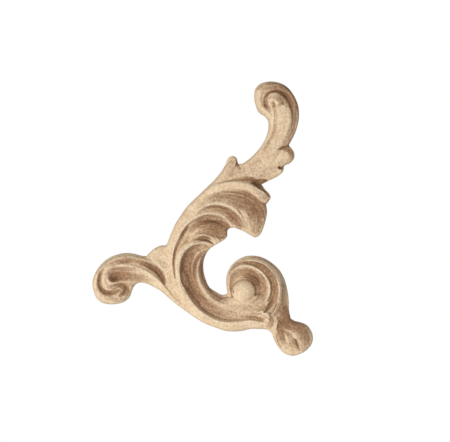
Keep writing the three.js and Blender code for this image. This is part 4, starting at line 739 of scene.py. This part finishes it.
def front_triangles(signed, moved, height):
    """Two triangles in each cell of the sheet, split along the flatter diagonal. At the outline the
    diagonal runs between points inside or on it, and what is outside is left out."""
    kind = np.where(moved, 0, np.where(signed > 0, 1, -1))
    number = np.arange(X.size).reshape(X.shape)
    corners = [np.s_[:-1, :-1], np.s_[:-1, 1:], np.s_[1:, 1:], np.s_[1:, :-1]]
    ka, kb, kc, kd = (kind[corner] for corner in corners)
    a, b, c, d = (number[corner] for corner in corners)
    ha, hb, hc, hd = (height[corner] for corner in corners)
    along_ac = np.abs(ha - hc) < np.abs(hb - hd)
    lone = (ka + kb + kc + kd == 1) & (np.minimum(np.minimum(ka, kb), np.minimum(kc, kd)) == 0)
    along_ac = np.where(lone, (ka == 1) | (kc == 1), along_ac)
    along_ac = np.where((ka < 0) | (kc < 0), False, along_ac)
    along_ac = np.where((kb < 0) | (kd < 0), True, along_ac)
    first = np.stack([a, np.where(along_ac, c, d), b], axis=-1)
    second = np.stack([np.where(along_ac, a, b), d, c], axis=-1)
    triangles = np.concatenate([first.reshape(-1, 3), second.reshape(-1, 3)])
    kinds = kind.ravel()[triangles]
    middle = signed.ravel()[triangles].mean(axis=1)
    least, most = kinds.min(axis=1), kinds.max(axis=1)
    return triangles[(least == 1) | (least == 0) & ((most == 1) | (middle > 0))]


def open_sides(triangles, count):
    """The sides, as walked round their triangles, that no other triangle shares."""
    sides = np.concatenate([triangles[:, [0, 1]], triangles[:, [1, 2]], triangles[:, [2, 0]]])
    there = sides[:, 0] * count + sides[:, 1]
    back = sides[:, 1] * count + sides[:, 0]
    return sides[~np.isin(there, back)]


def merged(triangles, across, down):
    """The triangles with their points numbered afresh, where points that were moved to the same place
    are one point and triangles left without width are gone; and the sheet's number of each point."""
    used = np.unique(triangles)
    spots = np.round(np.column_stack([across[used], down[used]]), 4)
    _, first_use, renamed = np.unique(spots, axis=0, return_index=True, return_inverse=True)
    rename = np.zeros(X.size, int)
    rename[used] = renamed.ravel()
    triangles = rename[triangles]
    distinct = (triangles != np.roll(triangles, 1, axis=1)).all(axis=1)
    return triangles[distinct], used[first_use]


def hung_wall(triangles, count):
    """The points of the front's rim, and the quads between its open sides and the rows below them. A
    row's points are numbered on from the front's, in the order of the rim."""
    sides = open_sides(triangles, count)
    rim = sides[:, 0]
    place_in_rim = np.full(count, -1)
    place_in_rim[rim] = np.arange(len(rim))
    upper = sides
    quads = []
    for row in range(len(WALL_ROWS)):
        lower = count + row * len(rim) + place_in_rim[sides]
        quads.append(np.column_stack([upper[:, 1], upper[:, 0], lower[:, 0], lower[:, 1]]))
        upper = lower
    return rim, np.concatenate(quads)


def flat_back(points, walked):
    """Triangles that fill the loop of the lowest row, taken in the order walked round the outline,
    each turned to face backwards."""
    order = np.argsort(walked)
    first = len(points) - len(walked)
    loop = [Vector((x, -z)) for x, _, z in points[first:][order]]
    back = order[np.array(tessellate_polygon([loop]))] + first
    ba, bb, bc = (points[back[:, i]] for i in range(3))
    wrong_way = np.cross(bb - ba, bc - ba)[:, 1] < 0
    back[wrong_way] = back[wrong_way][:, ::-1]
    return back


def applique_mesh():
    """The closed skin: the carved front, the upright wall below its rim and the flat back. Each point
    carries how hollow it lies, which is the mean height around it less its own and sets the painted shade,
    and how brown it is, painted shade included."""
    columns, distance, _ = nearest_on(edge, EDGE_REACH)
    distance = np.minimum(distance, EDGE_REACH)
    inside = inside_outline()
    signed = np.where(inside, distance, -distance)
    moved = nodes_on_edge(signed)
    carved = carved_heights()
    uneven = np.minimum(carved + pulp_lumps(), carved[inside].max())
    height = np.where(moved | ~inside, GROUND, rolled_off(uneven, distance))
    across = np.where(moved, columns[..., 0], X).ravel()
    down = np.where(moved, columns[..., 1], Y).ravel()

    triangles, chosen = merged(front_triangles(signed, moved, height), across, down)
    rim, quads = hung_wall(triangles, len(chosen))
    wall_heights = np.repeat(np.array(WALL_ROWS) * GROUND, len(rim))
    every = np.append(chosen, np.tile(chosen[rim], len(WALL_ROWS)))
    x = np.clip((across[every] - CENTRE_X) * SQUARE, cad_low.x, cad_high.x)
    y = -np.append(height.ravel()[chosen], wall_heights) * RELIEF
    z = (CENTRE_Y - down[every]) * SQUARE
    points = np.column_stack([x, y, z])
    back = flat_back(points, columns[..., 2].ravel()[chosen[rim]])

    def hollow(look):
        return (averaged(carved, inside.astype(float), look) - carved) * distance / EDGE_REACH

    mesh = bpy.data.meshes.new("applique_carving")
    mesh.from_pydata(points.tolist(), [], [*triangles.tolist(), *quads.tolist(), *back.tolist()])
    smooth = np.ones(len(mesh.polygons), bool)
    smooth[-len(back) :] = False
    mesh.polygons.foreach_set("use_smooth", smooth)
    fields = {
        # How hollow each point lies, which sets the painted shade in the hollows
        "small_hollow": (hollow(NARROW_LOOK), 0),
        "large_hollow": (hollow(WIDE_LOOK), WALL_HOLLOW),
        # brown: the pulp's own brown and painted shade together
        "brown": (brown_and_painted_shade(), WALL_BROWN_AND_SHADE),
    }
    for name, (field, at_wall) in fields.items():
        values = np.append(field.ravel()[chosen], np.full(len(wall_heights), at_wall))
        mesh.attributes.new(name, "FLOAT", "POINT").data.foreach_set("value", values)
    mesh.validate()
    mesh.update()
    return mesh


def node(tree, kind, values=None, **settings):
    """A node with its settings, and its inputs by identifier: a value is set, a socket is linked."""
    made = tree.nodes.new(kind)
    for name, value in settings.items():
        setattr(made, name, value)
    sockets = {socket.identifier: socket for socket in made.inputs}
    for name, value in (values or {}).items():
        if isinstance(value, bpy.types.NodeSocket):
            tree.links.new(value, sockets[name])
        else:
            sockets[name].default_value = value
    return made


def colour(name):
    """A named colour in linear values, by the screen's own curve: a straight foot and a power of 2.4."""
    share = np.array(COLOURS[name]) / 255
    value = np.where(share <= 0.04045, share / 12.92, ((share + 0.055) / 1.055) ** 2.4)
    return (*value.tolist(), 1.0)


def pulp_material():
    """Bare pressed wood pulp: tan, paler on the crests by wear and a painted highlight, darker in the
    hollows by painted shade, with brown patches that hold the pulp's brown and painted shade, a fine
    speckle, slow changes of tone and a fibrous grain."""
    material = bpy.data.materials.new("pressed_wood_pulp")
    material.use_nodes = True
    tree = material.node_tree
    tree.nodes.clear()
    where = node(tree, "ShaderNodeTexCoord").outputs["Object"]

    def measured(name):
        return node(tree, "ShaderNodeAttribute", attribute_name=name).outputs["Fac"]

    def ranged(value, low, high, to_low=0, to_high=1):
        ends = {"From Min": low, "From Max": high, "To Min": to_low, "To Max": to_high}
        made = node(tree, "ShaderNodeMapRange", {"Value": value, **ends}, interpolation_type="SMOOTHSTEP")
        return made.outputs["Result"]

    def noise(scale, detail=2, roughness=0.5):
        settings = {"Vector": where, "Scale": scale, "Detail": detail, "Roughness": roughness}
        return node(tree, "ShaderNodeTexNoise", settings).outputs["Fac"]

    def mixed(factor, *tones, blend="MIX"):
        first, second = (colour(tone) if isinstance(tone, str) else tone for tone in tones)
        values = {"Factor_Float": factor, "A_Color": first, "B_Color": second}
        made = node(tree, "ShaderNodeMix", values, data_type="RGBA", blend_type=blend)
        return next(s for s in made.outputs if s.identifier == "Result_Color")

    # Speckle and fleck take a darker tone where the brown and painted shade lie
    def marked(tone, mark):
        darker = mixed(ranged(brown, 0, 0.7), mark, mark + " on brown")
        return mixed(1, tone, darker, blend="MULTIPLY")

    clouds = ranged(noise(160, 3), 0.35, 0.68)
    mottle = ranged(noise(420), 0.5, 0.75, 0, 0.5)
    speckle = ranged(noise(1000, 2, 0.6), 0.38, 0.6)
    fleck = ranged(noise(1400, 1), 0.62, 0.72)
    grain = noise(2600, 4, 0.65)
    brown, narrow, wide = (measured(name) for name in ("brown", "small_hollow", "large_hollow"))

    tone = mixed(clouds, "pulp", "pale pulp")
    tone = mixed(mottle, tone, "warm pulp")
    # Painted shade in the wide hollows
    tone = mixed(ranged(wide, 0, 0.24, 0, 0.3), tone, "shade in wide hollows")
    # The pulp's brown and painted shade, and at its strongest a darker mix of both
    tone = mixed(ranged(brown, 0.02, 1), tone, "brown")
    tone = mixed(ranged(brown, 0.9, 1.7), tone, "deepest brown and shade")
    # Painted shade in the narrow hollows
    tone = mixed(ranged(narrow, 0.015, 0.13, 0, 0.7), tone, "shade in narrow hollows")
    # Crests paler, by wear and by a painted highlight
    tone = mixed(ranged(narrow, -0.015, -0.09, 0, 0.6), tone, "worn and lit crest")
    tone = mixed(speckle, marked(tone, "speckle"), tone)
    tone = mixed(fleck, tone, marked(tone, "fleck"))

    bump = node(tree, "ShaderNodeBump", {"Height": grain, "Strength": 0.35, "Distance": 0.00012})
    surface = {
        "Base Color": tone,
        "Roughness": ranged(grain, 0.3, 0.7, 0.78, 0.95),
        "Specular IOR Level": 0.3,
        "Normal": bump.outputs["Normal"],
    }
    shader = node(tree, "ShaderNodeBsdfPrincipled", surface)
    node(tree, "ShaderNodeOutputMaterial", {"Surface": shader.outputs["BSDF"]})
    return material


def placed(name, data):
    """A new object in the scene."""
    thing = bpy.data.objects.new(name, data)
    bpy.context.scene.collection.objects.link(thing)
    return thing


def make_applique():
    """The one piece, in its material, which stands for the solid."""
    mesh = applique_mesh()
    mesh.materials.append(pulp_material())
    piece = placed("applique_carving", mesh)
    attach(piece, "root")
    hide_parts("applique")


def make_floor():
    """A plain pale square floor below the applique, which hangs above it."""
    half = FLOOR_SIDE / 2
    level = cad_low.z - FLOOR_DROP
    mesh = bpy.data.meshes.new("floor")
    corners = [(x * half, y * half, level) for x, y in ((-1, -1), (1, -1), (1, 1), (-1, 1))]
    mesh.from_pydata(corners, [], [(0, 1, 2, 3)])
    material = bpy.data.materials.new("pale_floor")
    material.use_nodes = True
    shader = material.node_tree.nodes["Principled BSDF"]
    shader.inputs["Base Color"].default_value = colour("floor")
    shader.inputs["Roughness"].default_value = 0.9
    mesh.materials.append(material)
    placed("floor", mesh)


def make_camera():
    """A camera that looks straight at the front, from where the picture is as wide as it should be."""
    camera = bpy.data.cameras.new("camera")
    camera.lens = LENS
    camera.sensor_width = SENSOR
    seat = placed("camera", camera)
    away = IMAGE_WIDE * SQUARE * LENS / SENSOR
    seat.location = (
        (PICTURE_MIDDLE[0] - CENTRE_X) * SQUARE,
        -away - RELIEF * PICTURE_DEPTH,
        (CENTRE_Y - PICTURE_MIDDLE[1]) * SQUARE,
    )
    seat.rotation_euler = (math.radians(90), 0, 0)
    bpy.context.scene.camera = seat


def make_key_light():
    """A square soft light that looks at the middle of the applique."""
    light = bpy.data.lights.new("key", "AREA")
    light.shape = "SQUARE"
    light.size = KEY_SIDE
    light.energy = KEY_WATTS
    lamp = placed("key", light)
    lamp.location = KEY_PLACE
    lamp.rotation_euler = (-Vector(KEY_PLACE)).to_track_quat("-Z", "Y").to_euler()


def make_surround():
    """An even surround that fills the shade, and shows white behind the applique."""
    world = bpy.data.worlds.new("surround")
    bpy.context.scene.world = world
    world.use_nodes = True
    tree = world.node_tree
    tree.nodes.clear()
    seen = node(tree, "ShaderNodeLightPath").outputs["Is Camera Ray"]
    white = (1, 1, 1, 1)
    fill = node(tree, "ShaderNodeBackground", {"Color": white, "Strength": FILL_STRENGTH})
    shown = node(tree, "ShaderNodeBackground", {"Color": white, "Strength": 1.0})
    sources = {"Fac": seen, "Shader": fill.outputs[0], "Shader_001": shown.outputs[0]}
    both = node(tree, "ShaderNodeMixShader", sources)
    node(tree, "ShaderNodeOutputWorld", {"Surface": both.outputs[0]})
    bpy.context.scene.view_settings.view_transform = "Standard"


make_applique()
make_floor()
make_camera()
make_key_light()
make_surround()
